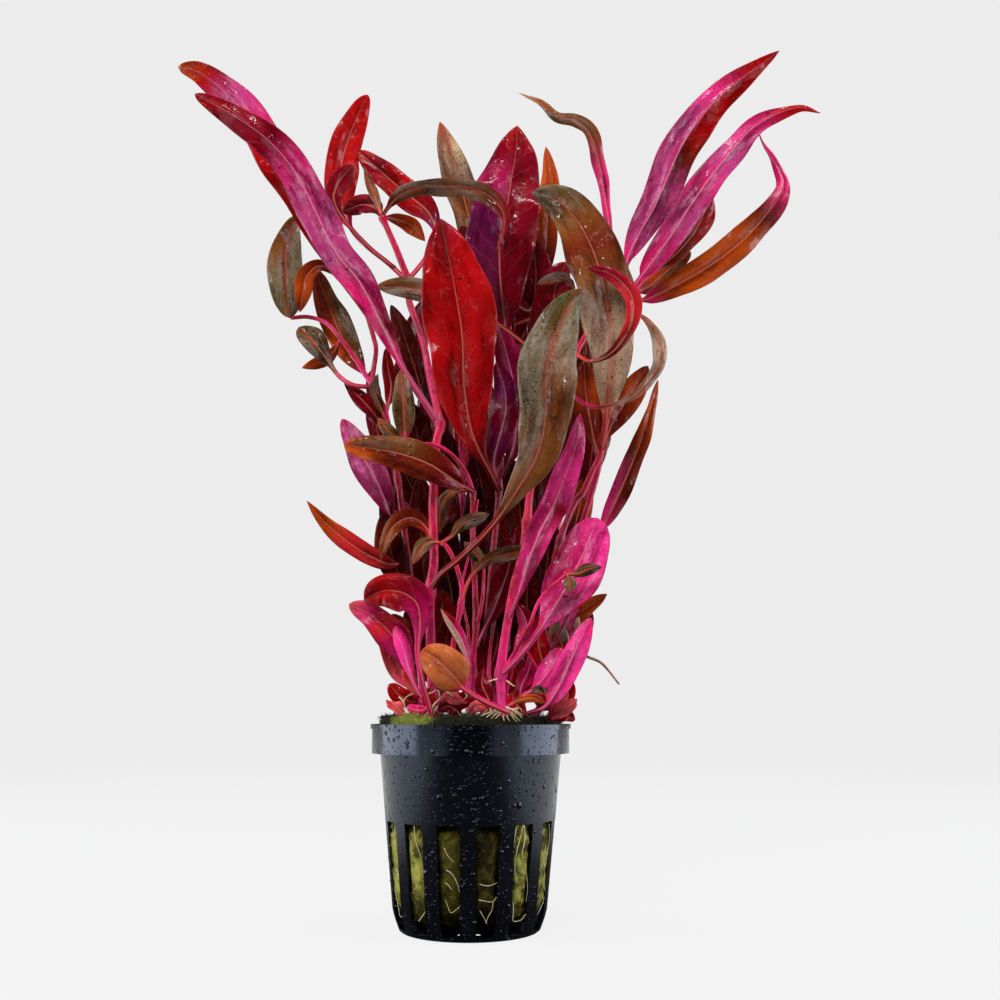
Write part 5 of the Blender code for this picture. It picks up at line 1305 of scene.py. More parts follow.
def stem_material():
    """Stems: wet pink skin with fine long light streaks, partly painted highlights, and darker
    patches
    """
    make = Shader("stem_skin")
    tint = make.attribute("tint")
    where = make.place()
    upright = make.stretched(where, (1.0, 1.0, 0.12))
    streak = make.step(make.noise(upright, SKIN_STREAKS, 3.0, 0.6), 0.38, 0.7)
    patch = make.step(make.noise(where, SKIN_PATCHES, 3.0, 0.6), 0.45, 0.7)
    # Light streaks: partly striations, partly painted highlights
    colour = make.mix(make.times(streak, 0.35), tint, make.mix(0.5, tint, SKIN_STREAK_AND_HIGHLIGHT))
    colour = make.shaded(make.times(patch, 0.75), colour, SKIN_SHADE)
    relief = make.bump(streak, 0.5, 0.00016)
    relief = make.bump(make.beads(SKIN_BEADS, 0.2), 0.8, 0.0003, relief)
    make.set(Base_Color=colour, Roughness=make.step(patch, 0.0, 1.0, 0.24, 0.36),
             Normal=relief, Coat_Weight=0.15, Coat_Roughness=0.1, Specular_IOR_Level=0.35)
    return make.material


# The pot's plastic: repeats in a metre of its grain and of its film, and the tint of what it
# mirrors
PLASTIC_GRAIN = 2400.0
PLASTIC_FILM = 70.0
MIRROR_TINT = (0.66, 0.76, 1.0, 1.0)
# Beads of damp on the pot, small ones first: repeats in a metre, the share of cells that hold
# one, the radius of the largest as a share of its cell, and their height in metres
POT_BEADS = ((1350.0, 0.7, 0.36, 0.0004), (640.0, 0.5, 0.34, 0.0006),
             (330.0, 0.36, 0.32, 0.0009))


def pot_material():
    """Moulded black plastic with a faint grain and beads of damp"""
    sizes = bpy.context.scene.pot_sizes
    make = Shader("pot_plastic")
    where = make.place()
    grain = make.noise(where, PLASTIC_GRAIN, 3.0, 0.6)
    film = make.noise(where, PLASTIC_FILM, 3.0, 0.55)
    colour = make.mix(make.step(film, 0.35, 0.75), tuple(sizes.plastic),
                      tuple(0.6 * v for v in sizes.plastic))
    relief = make.bump(grain, 0.10, 0.0001)
    wet = 0.0
    for scale, kept, largest, height in POT_BEADS:
        beads = make.beads(scale, kept, largest)
        relief = make.bump(beads, 1.0, height, relief)
        wet = make.math("MAXIMUM", beads, wet)
    gloss = make.step(film, 0.3, 0.7, 0.17, 0.25)
    gloss = make.minus(gloss, make.times(wet, 0.15))
    make.set(Base_Color=colour, Roughness=gloss, Normal=relief, Specular_IOR_Level=0.75,
             Specular_Tint=MIRROR_TINT)
    return make.material


# The wool, in metres: where its brown foot ends and starts, where its dark wet top does, the
# middle of the pale lump of moss and its reach, and how far the painted shade on its front reaches
# sideways and back
WOOL_FOOT = (0.0105, 0.0035)
WOOL_TOP = (0.041, 0.044)
PALE_LUMP = (-0.0141, -0.0165, 0.0508)
PALE_REACH = (0.0078, 0.0044)
FRONT_SIDES = (0.0115, 0.0086)
FRONT_DEPTH = (-0.010, -0.014)
# Patterns of the wool, as repeats in a metre, and of the mottles of the moss
FELT_HAIRS = 800.0
WOOL_CLUMPS = 150.0
WOOL_THREADS = 420.0
MOSS_MOTTLES = 420.0
# Painted shade: what is left of red, green and blue between hairs of the wool, and on the middle
# of its front
HAIR_SHADE = (0.3, 0.28, 0.2)
FRONT_SHADE = (0.14, 0.11, 0.04)
# Colours of the wool's threads, its stained foot, its wet top and its pale lump, of the pale
# tips of moss, of light and dark loose fibres, and of the dark parts of roots
THREAD = srgb(190, 188, 104)
FOOT_STAIN = srgb(112, 68, 14)
WET_TOP = srgb(26, 26, 11)
PALE_WOOL = srgb(132, 138, 56)
PALE_TIPS = srgb(160, 166, 72)
LOOSE_LIGHT = srgb(196, 192, 104)
LOOSE_DARK = srgb(120, 112, 40)
ROOT_DARK = srgb(208, 186, 122)


def pale_lump(make):
    """How near a point is to the pale lump of moss at the left of the rim"""
    reach = make.node("ShaderNodeVectorMath", operation="DISTANCE")
    make.join(make.place(), reach.inputs[0])
    make.join(PALE_LUMP, reach.inputs[1])
    return make.step(reach.outputs["Value"], *PALE_REACH)


def front_painted_shade(make, colour):
    """The wool's colour with painted shade, browner and darker in the middle of its front"""
    x, y, _ = make.split(make.place())
    middle = make.step(make.math("ABSOLUTE", x), *FRONT_SIDES)
    front = make.times(middle, make.step(y, *FRONT_DEPTH))
    return make.shaded(make.times(front, 0.92), colour, FRONT_SHADE)


def wool_material():
    """Mineral wool with algae stains: felted strands, painted shade in its hollows, between its
    hairs and on the middle of its front, a brown foot, a wet top
    """
    sizes = bpy.context.scene.pot_sizes
    make = Shader("plug_wool")
    where = make.place()
    felt = make.noise(make.stretched(where, (1.0, 1.0, 0.4)), FELT_HAIRS, 7.0, 0.75)
    clump = make.noise(where, WOOL_CLUMPS, 5.0, 0.68)
    thread = make.noise(where, WOOL_THREADS, 3.0, noise_type="RIDGED_MULTIFRACTAL")
    thread = make.step(thread, 1.0, 2.2)
    # Darker olive-brown clumps, partly painted shade of the wool's hollows
    colour = make.mix(make.step(clump, 0.38, 0.58), tuple(sizes.wool), tuple(sizes.wool_dark))
    # Painted shade between the hairs of the felt
    colour = make.shaded(make.step(felt, 0.52, 0.66, 0.0, 0.68), colour, HAIR_SHADE)
    colour = make.mix(make.times(thread, 0.6), colour, THREAD)
    z = make.split(where)[2]
    stain = make.times(make.step(z, *WOOL_FOOT), make.step(clump, 0.3, 0.6, 0.95, 0.4))
    colour = make.mix(stain, colour, FOOT_STAIN)
    # Painted shade on the middle of the wool's front
    colour = front_painted_shade(make, colour)
    colour = make.mix(make.step(z, *WOOL_TOP), colour, WET_TOP)
    colour = make.mix(make.times(pale_lump(make), 0.8), colour, PALE_WOOL)
    height = make.plus(felt, make.times(thread, 0.4))
    relief = make.bump(height, 1.0, 0.0014)
    make.set(Base_Color=colour, Roughness=0.8, Normal=relief, Specular_IOR_Level=0.25)
    return make.material


def moss_material():
    """Dark wet moss, yellow-green on the lump at the left of the rim"""
    sizes = bpy.context.scene.pot_sizes
    make = Shader("moss")
    where = make.place()
    moss = tuple(sizes.moss)
    mottle = make.noise(where, MOSS_MOTTLES, 3.0, 0.6)
    colour = make.mix(make.step(mottle, 0.4, 0.62), moss, tuple(0.25 * v for v in moss))
    near = make.times(pale_lump(make), make.step(mottle, 0.7, 0.5, 0.5, 1.0))
    colour = make.mix(near, colour, PALE_TIPS)
    make.set(Base_Color=colour, Roughness=0.55)
    return make.material


def plain_material(name, colour, other, scale, rough, front_shaded=False):
    """Two close colours mottled together, with a soft relief, and for wool the painted shade on
    the middle of its front
    """
    make = Shader(name)
    mottle = make.noise(make.place(), scale, 3.0, 0.6)
    mixed = make.mix(make.step(mottle, 0.35, 0.65), colour, other)
    make.set(Base_Color=front_painted_shade(make, mixed) if front_shaded else mixed,
             Roughness=rough, Normal=make.bump(mottle, 0.4, 0.0002))
    return make.material


def settle(piece, node):
    """The piece stands for a CAD node"""
    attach(piece, "root")
    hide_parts(node)


def plant_materials():
    """The two faces of a leaf and the skin of a stem, made once"""
    if "leaf_face" not in bpy.data.materials:
        blade_material("leaf_face", FACE_RIB, 0.9, 0.0)
        blade_material("leaf_underside", UNDER_RIB, 0.0, 0.7)
        stem_material()
    return [bpy.data.materials[name] for name in ("leaf_face", "leaf_underside", "stem_skin")]


# Rows along a small leaf; for each point of a large leaf's route, and their limits; the row of
# the picture below which a route starts in the moss
SMALL_ROWS = 20
ROWS_PER_POINT = 7.2
FEWEST_ROWS, MOST_ROWS = 36, 80
MOSS_ROW = 705
# How far apart the waves and grain of neighbours are taken
SMALL_PHASE = 1.7
BIG_PHASE = 2.4


def sunk(plan):
    """How deep the foot of a stem or leaf reaches into the moss, in mm"""
    foot = bpy.context.scene.plant_sizes.stem_foot / MM
    return foot if plan.route[0][1] > MOSS_ROW else 0.0


def build_growth(name, pieces):
    """Stems with the small leaves that grow on them, as one piece"""
    growth = Growth()
    colours = palette()
    for number, plan in enumerate(pieces):
        if isinstance(plan, Stem):
            add_stem(growth, plan, colours, number + len(name), sunk(plan))
        else:
            add_blade(growth, plan, colours, SMALL_ROWS, NARROW_COLUMNS, SMALL_PHASE * number)
    settle(growth.build(name + "_grown", plant_materials()), name)


def build_leaf(name, plan, number):
    """One of the larger leaves"""
    growth = Growth()
    rows = int(np.clip(ROWS_PER_POINT * len(plan.route), FEWEST_ROWS, MOST_ROWS))
    add_blade(growth, plan, palette(), rows, WIDE_COLUMNS, BIG_PHASE * number, sunk(plan))
    settle(growth.build(name + "_grown", plant_materials()), name)


def pot_columns(half_angle):
    """Turns of the columns of one pitch, from the middle of a bar; the slot lies in 2 to 5"""
    near, far = PITCH / 2 - half_angle, PITCH / 2 + half_angle
    return (0.0, near / 2, near, PITCH / 2 - half_angle / 2, PITCH / 2,
            PITCH / 2 + half_angle / 2, far, (far + PITCH) / 2)


# Edges of the pot sharper than this are rounded
SHARP_EDGE = math.radians(38)
# Rings of the pot's outer face as (radius, height), from the foot of its wall to its lip
POT_RINGS = ((BASE_RADIUS, 0.0), (17.15, 0.35), (17.5, SLOT_BOTTOM), (18.0, 2.5), (18.45, 3.8),
             (18.8, 5.2), (19.3, 10.0), (20.1, 18.0), (20.9, SLOT_TOP), (21.7, 34.0),
             (22.5, RIM_BOTTOM), (RIM_RADIUS - LIP_DEPTH, RIM_BOTTOM),
             (RIM_RADIUS - LIP_DEPTH, POT_HEIGHT - LIP_HEIGHT),
             (RIM_RADIUS, POT_HEIGHT - LIP_HEIGHT), (RIM_RADIUS, POT_HEIGHT))


def build_pot():
    """The slotted pot: one moulded wall with openings, a stepped rim and rounded edges"""
    sizes = bpy.context.scene.pot_sizes
    rows = [(FLOOR_SLOT_INNER, 0.0, FLOOR_SLOT_HALF_ANGLE),
            (FLOOR_SLOT_OUTER, 0.0, FLOOR_SLOT_HALF_ANGLE)]
    rows += [(radius, height, PITCH / 2 - math.asin(BAR_WIDTH / 2 / radius))
             for radius, height in POT_RINGS]
    shape = bmesh.new()
    centre = shape.verts.new((0, 0, 0))
    rings = []
    for radius, height, half_angle in rows:
        turns = [slot * PITCH + turn - math.pi / 2 for slot in range(SLOTS)
                 for turn in pot_columns(half_angle)]
        rings.append([shape.verts.new((radius * MM * math.cos(turn),
                                       radius * MM * math.sin(turn), height * MM))
                      for turn in turns])
    count = len(rings[0])
    columns = count // SLOTS
    for i in range(count):
        shape.faces.new((centre, rings[0][(i + 1) % count], rings[0][i]))
    for (radius, height, _), lower, upper in zip(rows, rings, rings[1:]):
        floor_slot = height == 0 and radius == FLOOR_SLOT_INNER
        side_slot = SLOT_BOTTOM <= height < SLOT_TOP
        for i in range(count):
            if (floor_slot or side_slot) and 2 <= i % columns <= 5:
                continue
            j = (i + 1) % count
            shape.faces.new((lower[i], lower[j], upper[j], upper[i]))
    loose = [vert for vert in shape.verts if not vert.link_faces]
    bmesh.ops.delete(shape, geom=loose, context="VERTS")
    pot = add_object("net_pot_moulded", smooth_mesh(shape, "net_pot_moulded"))
    wall = pot.modifiers.new("wall", "SOLIDIFY")
    wall.thickness = sizes.wall
    wall.offset = -1.0
    wall.use_even_offset = True
    edges = pot.modifiers.new("edges", "BEVEL")
    edges.width = sizes.edge
    edges.segments = 2
    edges.limit_method = "ANGLE"
    edges.angle_limit = SHARP_EDGE
    edges.harden_normals = True
    pot.data.materials.append(pot_material())
    settle(pot, "net_pot")


# Rings of the plug as (radius, height): its foot, its side inside the pot and its top
PLUG_RINGS = ((1.0, 3.2), (8.0, 3.1), (13.0, 3.1), (15.0, 3.3), (16.0, 4.3), (17.1, 6.0),
              (17.6, 10.0), (18.2, 16.0), (18.8, 22.0), (19.4, 27.0), (20.4, 37.0),
              (20.9, 41.2), (20.9, 43.4), (21.9, 44.9), (22.5, 45.6), (22.8, 47.6), (22.6, 48.9),
              (22.0, 49.7), (20.6, 50.2), (17.0, 50.4), (12.0, 50.5), (6.0, 50.5), (1.0, 50.5))
PLUG_COLUMNS = 168
PLUG_ROW_MM = 0.8
# How far the wool swells into a slot, the height where moss starts, and the swells and holes
# of the felt as (height in mm, how often in a mm)
BULGE = 1.45
MOSS_LINE = 47.6
FELT = ((0.32, 0.35), (0.22, 0.9), (0.10, 2.2))
# How far in mm the felt lies inwards, and how much of its swells moss has outwards and up
FELT_INSET = 0.1
MOSS_OUT = 1.3
MOSS_UP = 0.9
# Lumps of moss as (x, y, size, rise)
LUMPS = ((-20.5, -9.5, 2.6, 1.1), (-14.5, -15.5, 2.4, 1.5), (-18.0, -12.5, 1.8, 0.9),
         (-21.8, -3.0, 2.0, 0.9), (14.0, -17.5, 2.4, 0.6), (3.0, -21.5, 2.8, 0.5),
         (20.0, -9.0, 2.4, 0.8), (-2.0, 20.5, 3.0, 0.8), (17.0, 13.0, 2.6, 0.7),
         (-14.0, 16.0, 2.6, 0.7))


def plug_radius(height):
    """The plug's radius at a height of its side, in mm"""
    side = PLUG_RINGS[5:16]
    return float(np.interp(height, [z for _, z in side], [r for r, _ in side]))


def slot_bulge(turn, height):
    """How far the wool swells into a slot at a turn and height"""
    off = abs((turn + math.pi / 2) % PITCH - PITCH / 2)
    reach = PITCH / 2 - math.asin(BAR_WIDTH / 2 / RIM_RADIUS)
    across = float(smoothstep(1.0, 0.55, off / reach))
    upright = float(smoothstep(SLOT_BOTTOM + 3.0, SLOT_BOTTOM + 8.0, height)
                    * smoothstep(SLOT_TOP - 0.6, SLOT_TOP - 3.5, height))
    return BULGE * across * upright


def build_plug():
    """The plug of mineral wool, felted and uneven, with mossy lumps around its top"""
    fine = []
    for (r0, z0), (r1, z1) in zip(PLUG_RINGS, PLUG_RINGS[1:]):
        steps = max(1, round(math.hypot(r1 - r0, z1 - z0) / PLUG_ROW_MM))
        fine += [(r0 + (r1 - r0) * k / steps, z0 + (z1 - z0) * k / steps)
                 for k in range(steps)]
    fine.append(PLUG_RINGS[-1])
    shape = bmesh.new()
    rings = []
    for radius, height in fine:
        ring = []
        for column in range(PLUG_COLUMNS):
            turn = 2 * math.pi * column / PLUG_COLUMNS
            place = Vector((radius * math.cos(turn), radius * math.sin(turn), height))
            rough = sum(rise * noise.noise(place * often) for rise, often in FELT)
            out = Vector((math.cos(turn), math.sin(turn), 0.0))
            place += out * (rough - FELT_INSET if height < MOSS_LINE else MOSS_OUT * rough)
            place += out * slot_bulge(turn, height)
            if height > MOSS_LINE:
                swell = sum(rise * math.exp(-((place.x - x) ** 2 + (place.y - y) ** 2) / size ** 2)
                            for x, y, size, rise in LUMPS)
                place.z += MOSS_UP * rough + swell * min(1.0, (height - MOSS_LINE) / 2)
            ring.append(shape.verts.new(place * MM))
        rings.append(ring)
    for lower, upper in zip(rings, rings[1:]):
        for i in range(PLUG_COLUMNS):
            j = (i + 1) % PLUG_COLUMNS
            shape.faces.new((lower[i], lower[j], upper[j], upper[i]))
    shape.faces.new(list(reversed(rings[0])))
    shape.faces.new(rings[-1])
    plug = add_object("wool_plug_felted", smooth_mesh(shape, "wool_plug_felted"))
    plug.data.materials.append(wool_material())
    settle(plug, "wool_plug")
    return plug


class Growing:
    """A Geometry Nodes tree with named inputs, ended by Realize Instances and Set Material"""

    def __init__(self, name, inputs):
        self.tree = bpy.data.node_groups.new(name, "GeometryNodeTree")
        faces = self.tree.interface
        faces.new_socket("Geometry", in_out="INPUT", socket_type="NodeSocketGeometry")
        for label, kind, default in inputs:
            socket = faces.new_socket(label, in_out="INPUT", socket_type=kind)
            if default is not None:
                socket.default_value = default
        faces.new_socket("Geometry", in_out="OUTPUT", socket_type="NodeSocketGeometry")
        self.given = self.tree.nodes.new("NodeGroupInput").outputs
        self.result = self.tree.nodes.new("NodeGroupOutput").inputs[0]

    def add(self, kind, links=None, **settings):
        made = self.tree.nodes.new(kind)
        for name, value in settings.items():
            setattr(made, name, value)
        for name, value in (links or {}).items():
            socket = made.inputs[name]
            if isinstance(value, bpy.types.NodeSocket):
                self.tree.links.new(value, socket)
            else:
                socket.default_value = value
        return made.outputs

    def finish(self, geometry):
        whole = self.add("GeometryNodeRealizeInstances", {"Geometry": geometry})[0]
        smooth = self.add("GeometryNodeSetShadeSmooth", {"Geometry": whole})[0]
        done = self.add("GeometryNodeSetMaterial",
                        {"Geometry": smooth, "Material": self.given["Material"]})[0]
        self.tree.links.new(done, self.result)

    def grow(self, name, carrier, values):
        """The plain mesh that the tree makes on a copy of its carrier"""
        host = add_object(name + "_host", carrier.data.copy())
        made = host.modifiers.new(name, "NODES")
        made.node_group = self.tree
        for item in self.tree.interface.items_tree:
            if item.in_out == "INPUT" and item.name in values:
                made[item.identifier] = values[item.name]
        ready = host.evaluated_get(bpy.context.evaluated_depsgraph_get())
        mesh = bpy.data.meshes.new_from_object(ready)
        host.modifiers.remove(made)
        bpy.data.objects.remove(host)
        return add_object(name, mesh)


def height_band(tree):
    """True for faces between the two heights given to the tree"""
    place = tree.add("GeometryNodeInputPosition")[0]
    height = tree.add("ShaderNodeSeparateXYZ", {"Vector": place})["Z"]
    above, below = (tree.add("FunctionNodeCompare", {"A": height, "B": tree.given[limit]},
                             data_type="FLOAT", operation=operation)[0]
                    for limit, operation in (("Lowest", "GREATER_THAN"), ("Highest", "LESS_THAN")))
    return tree.add("FunctionNodeBooleanMath", {0: above, 1: below}, operation="AND")[0]


# Forms of a strand: the start, middle and end of its curve, and how far it may lean. Moss
# stands up, and loose fibres lie on the wool.
STANDING = ((0.0, 0.0, -0.2), (0.05, 0.02, 0.6), (0.42, 0.16, 1.0), 0.7)
LYING = ((-0.5, 0.0, -0.03), (0.05, 0.24, 0.12), (0.5, -0.08, -0.02), 0.12)


def strand_tree(name, form):
    """Curved strands of one form, scattered on a surface between two heights"""
    tree = Growing(name, (("Density", "NodeSocketFloat", 1000.0),
                          ("Length", "NodeSocketFloat", 3 * MM),
                          ("Thickness", "NodeSocketFloat", 0.05 * MM),
                          ("Tip", "NodeSocketFloat", 0.2),
                          ("Lowest", "NodeSocketFloat", 0.0),
                          ("Highest", "NodeSocketFloat", 1.0),
                          ("Seed", "NodeSocketInt", 1),
                          ("Material", "NodeSocketMaterial", None)))
    spread = tree.add("GeometryNodeDistributePointsOnFaces",
                      {"Mesh": tree.given[0], "Selection": height_band(tree),
                       "Density": tree.given["Density"], "Seed": tree.given["Seed"]})
    start, middle, end, lean = form
    line = tree.add("GeometryNodeCurveQuadraticBezier",
                    {"Resolution": 5, "Start": start, "Middle": middle, "End": end})[0]
    share = tree.add("GeometryNodeSplineParameter")[0]
    slim = tree.add("ShaderNodeMapRange", {"Value": share, "To Min": 1.0,
                                           "To Max": tree.given["Tip"]})[0]
    thick = tree.add("ShaderNodeMath", {0: tree.given["Thickness"], 1: tree.given["Length"]},
                     operation="DIVIDE")[0]
    ring = tree.add("GeometryNodeCurvePrimitiveCircle", {"Resolution": 3, "Radius": 0.5})[0]
    radius = tree.add("ShaderNodeMath", {0: slim, 1: thick}, operation="MULTIPLY")[0]
    strand = tree.add("GeometryNodeCurveToMesh", {"Curve": line, "Profile Curve": ring,
                                                  "Scale": radius, "Fill Caps": True})[0]
    swing = tree.add("FunctionNodeRandomValue",
                     {0: (-lean, -lean, -math.pi), 1: (lean, lean, math.pi),
                      "Seed": tree.given["Seed"]}, data_type="FLOAT_VECTOR")[0]
    swing = tree.add("FunctionNodeEulerToRotation", {"Euler": swing})[0]
    turned = tree.add("FunctionNodeRotateRotation",
                      {"Rotation": spread["Rotation"], "Rotate By": swing},
                      rotation_space="LOCAL")[0]
    size = tree.add("FunctionNodeRandomValue", {2: 0.5, 3: 1.3, "Seed": tree.given["Seed"]},
                    data_type="FLOAT")[1]
    size = tree.add("ShaderNodeMath", {0: size, 1: tree.given["Length"]},
                    operation="MULTIPLY")[0]
    placed = tree.add("GeometryNodeInstanceOnPoints",
                      {"Points": spread["Points"], "Instance": strand, "Rotation": turned,
                       "Scale": size})[0]
    tree.finish(placed)
    return tree


def settle_extra(piece):
    """A piece that stands for no CAD node of its own"""
    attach(piece, "root")


# Loose fibres and moss: length and thickness in mm, share of the thickness left at the tip,
# lowest and highest place on the plug in mm, seed. The long moss is thinner and has a share
# of the density of the short moss.
LOOSE_FIBRES = (3.4, 0.10, 0.5, 3.0, 29.0, 3)
MOSS_SHORT = (0.75, 0.34, 0.15, MOSS_LINE, 60.0, 5)
MOSS_LONG = (1.15, 0.26, 0.15, MOSS_LINE, 60.0, 8)
LONG_SHARE = 0.2


def scatter(tree, name, plug, density, material, measures):
    """Strands on the plug, as many as density says on a square metre"""
    length, thick, tip, lowest, highest, seed = measures
    strands = tree.grow(name, plug,
                        {"Density": float(density), "Length": length * MM,
                         "Thickness": thick * MM, "Tip": tip, "Lowest": lowest * MM,
                         "Highest": highest * MM, "Seed": seed, "Material": material})
    settle_extra(strands)


def build_fibres(plug):
    """Loose fibres that stand off the plug's side"""
    material = plain_material("loose_wool", LOOSE_LIGHT, LOOSE_DARK, scale=300.0, rough=0.7,
                              front_shaded=True)
    scatter(strand_tree("wool_fibres", LYING), "plug_loose_fibres", plug,
            bpy.context.scene.pot_sizes.fibre_count, material, LOOSE_FIBRES)


def build_moss(plug):
    """Moss on the plug: short tips all over and longer, finer ones between them"""
    count = bpy.context.scene.pot_sizes.moss_count
    tree = strand_tree("moss_tips", STANDING)
    material = moss_material()
    scatter(tree, "plug_moss_short", plug, count, material, MOSS_SHORT)
    scatter(tree, "plug_moss_long", plug, count * LONG_SHARE, material, MOSS_LONG)


# Roots that lie on the wool in the slots, as (column, row) of the picture, which of them are
# thick and how much; how far roots stand off the wool, their thicknesses in mm, how far apart
# their rows are and the share of their thickness that they lose
SLOT_ROOTS = (
    ((517, 825), (514.5, 839), (513, 856), (512.5, 872)),
    ((523, 825), (520, 839), (516.5, 853), (515, 868), (516, 884)),
    ((524, 825), (525, 839), (522, 856), (526, 872), (527.5, 888), (526, 902)),
    ((513, 902), (513.5, 912), (513, 921), (521, 920), (526, 914), (533, 911)),
    ((479, 884), (484, 885.5), (490, 885.7), (499, 882)),
    ((479, 900), (486, 901.5), (493, 901.5), (499, 894)),
    ((493, 902), (492, 910), (488, 917), (486, 923)),
    ((480, 911), (484, 918), (487, 924)),
    ((445.5, 883), (449, 886), (452, 890)),
    ((445.5, 900), (448, 907), (451, 913), (457, 909), (462, 905)),
    ((444, 848), (448, 856), (454, 862)),
    ((446, 870), (452, 874), (457, 883), (460, 894)),
    ((414, 826), (416, 842), (421, 858), (423, 874)),
    ((426, 830), (424, 848), (427, 862)),
    ((419, 921), (424, 914), (428, 905)),
    ((549, 824), (549.5, 836), (548, 850), (545, 866)),
    ((542, 880), (545, 893), (541, 907), (537, 915)),
    ((396, 868), (400, 880), (403, 893)),
)
THICK_SLOT_ROOTS = (0, 2, 8)
THICKER = 1.3
ROOT_PROUD = 1.45
ROOT_THICK = 0.22
FREE_THICK = 0.42
TUFT_THICK = 0.30
STRAY_THICK = 0.18
ROOT_ROW_MM = 0.5
ROOT_LOSS = 0.6


def on_plug(column, row):
    """The place on the plug's face that is seen at a place of the picture, found by steps"""
    fore = 20.0
    for _ in range(8):
        place = spot(column, row, fore)
        radius = plug_radius(place[2]) + ROOT_PROUD
        fore = math.sqrt(max(radius ** 2 - place[0] ** 2, 0.0))
    return spot(column, row, fore)


# Tufts of young roots at the feet of stems: column, row, fore, how many, reach in mm
ROOT_TUFTS = ((432, 706, 13, 5, 3.5), (437, 708, 14, 4, 3.0), (490, 710, 16, 5, 3.5),
              (511, 710, 16, 5, 3.5), (518, 709, 16, 4, 3.5), (405, 705, 8, 4, 3.0),
              (452, 709, 15, 4, 3.0), (470, 709, 10, 5, 3.5), (424, 707, 2, 5, 3.5),
              (520, 706, 4, 6, 3.5), (488, 706, -6, 6, 3.5), (545, 707, 8, 5, 3.0),
              (462, 706, -12, 6, 3.5))

# Stray roots over the wool: how many are drawn, the heights they start at and stay between,
# how far each step turns and rises, and half the angle at the front that is left free of them
STRAY_ROOTS = 90
STRAY_START = (6, 28)
STRAY_LIMITS = (4.5, 28.0)
STRAY_TURN = (-0.10, 0.10)
STRAY_RISE = (-4.5, 1.5)
FRONT_HALF_ANGLE = 0.9
ROOT_SEED = 21

# Single roots that show in front: route as (column, row, fore)
FREE_ROOTS = (
    ((497, 679, 17), (493, 680, 18.5), (488, 681.5, 19.5)),
    ((507, 681, 17), (511, 684, 18.5), (515, 686.5, 19.5)),
    ((438, 690, 15), (440, 698, 15.5), (434, 704, 15.5), (429, 711, 15.5), (425, 716, 15)),
    ((440, 699, 15.5), (434, 705, 16), (432, 712, 16), (430, 719, 16)),
    ((399, 697, 11), (403, 701, 12), (405, 707, 12), (408, 713, 12)),
    ((413, 694, 10), (408, 696, 11), (404, 700, 12), (405, 706, 12)),
    ((427, 694, 14), (431, 693, 14.5), (436, 690, 14.5)),
    ((446, 691, 20), (449, 693, 21), (453, 696, 21)),
    ((465, 692, 17), (467, 696, 17.5), (463, 700, 17)),
    ((500, 711, 18), (493, 713, 19), (487, 717, 19.5), (483, 721, 19)),
    ((501, 712, 18.5), (496, 714, 19.5), (491, 719, 20), (489, 723, 20)),
    ((502, 712, 18.5), (499, 715, 20), (495, 719, 20.5), (494, 722, 20.5)),
    ((504, 712, 18.5), (503, 716, 20), (504, 720, 20.5), (503, 723, 20.5)),
    ((505, 711, 18.5), (507, 715, 20), (508, 719, 20.5), (511, 722, 20)),
    ((506, 710, 18.5), (510, 713, 19.5), (513, 718, 20), (517, 722, 19.5)),
    ((506, 707, 18.5), (511, 709, 19.5), (517, 713, 20), (522, 718, 19)),
    ((503, 709, 18.5), (509, 711, 19.5), (514, 716, 20), (520, 721, 19)),
    ((500, 710, 18), (494, 711, 19), (488, 713, 19.5), (481, 716, 19)),
)


# The course of a root in a tuft: shares of its reach, of its bend and of its drop, and mm up;
# the shares of the tuft's reach that its roots have, how flat a tuft is and the bends in mm
TUFT_COURSE = ((0.12, 0.0, 0.0, 0.3), (0.45, -0.3, 0.25, 0.3), (0.8, 0.4, 0.7, 0.0),
               (1.0, 0.0, 1.0, 0.0))
TUFT_SHARES = (0.35, 1.0)
TUFT_FLAT = 0.8
TUFT_BENDS = (-0.8, 0.8)


def root_lines():
    """Routes of all the roots in millimetres, with their thickness"""
    lines = [([on_plug(*place) for place in route],
              ROOT_THICK * (THICKER if n in THICK_SLOT_ROOTS else 1))
             for n, route in enumerate(SLOT_ROOTS)]
    lines += [([spot(*place) for place in route], FREE_THICK) for route in FREE_ROOTS]
    draw = np.random.default_rng(ROOT_SEED)
    for column, row, fore, count, reach in ROOT_TUFTS:
        x, y, z = spot(column, row, fore)
        for _ in range(count):
            turn = draw.uniform(0, 2 * math.pi)
            out = reach * draw.uniform(*TUFT_SHARES)
            drop = z - PLUG_TOP + 0.2
            dx, dy = math.cos(turn) * out, math.sin(turn) * out * TUFT_FLAT
            bend = draw.uniform(*TUFT_BENDS)
            lines.append(([(x + far * dx + sway * bend, y + far * dy, z - fall * drop + rise)
                           for far, sway, fall, rise in TUFT_COURSE], TUFT_THICK))
    lowest, highest = STRAY_LIMITS
    for _ in range(STRAY_ROOTS):
        turn = draw.uniform(0, 2 * math.pi)
        off_front = (turn - 1.5 * math.pi + math.pi) % (2 * math.pi) - math.pi
        if abs(off_front) < FRONT_HALF_ANGLE:
            continue
        height = draw.uniform(*STRAY_START)
        route = []
        for _ in range(5):
            radius = plug_radius(height) + ROOT_PROUD
            route.append((radius * math.cos(turn), radius * math.sin(turn), height))
            turn += draw.uniform(*STRAY_TURN)
            height = min(highest, max(lowest, height + draw.uniform(*STRAY_RISE)))
        lines.append((route, STRAY_THICK))
    return lines


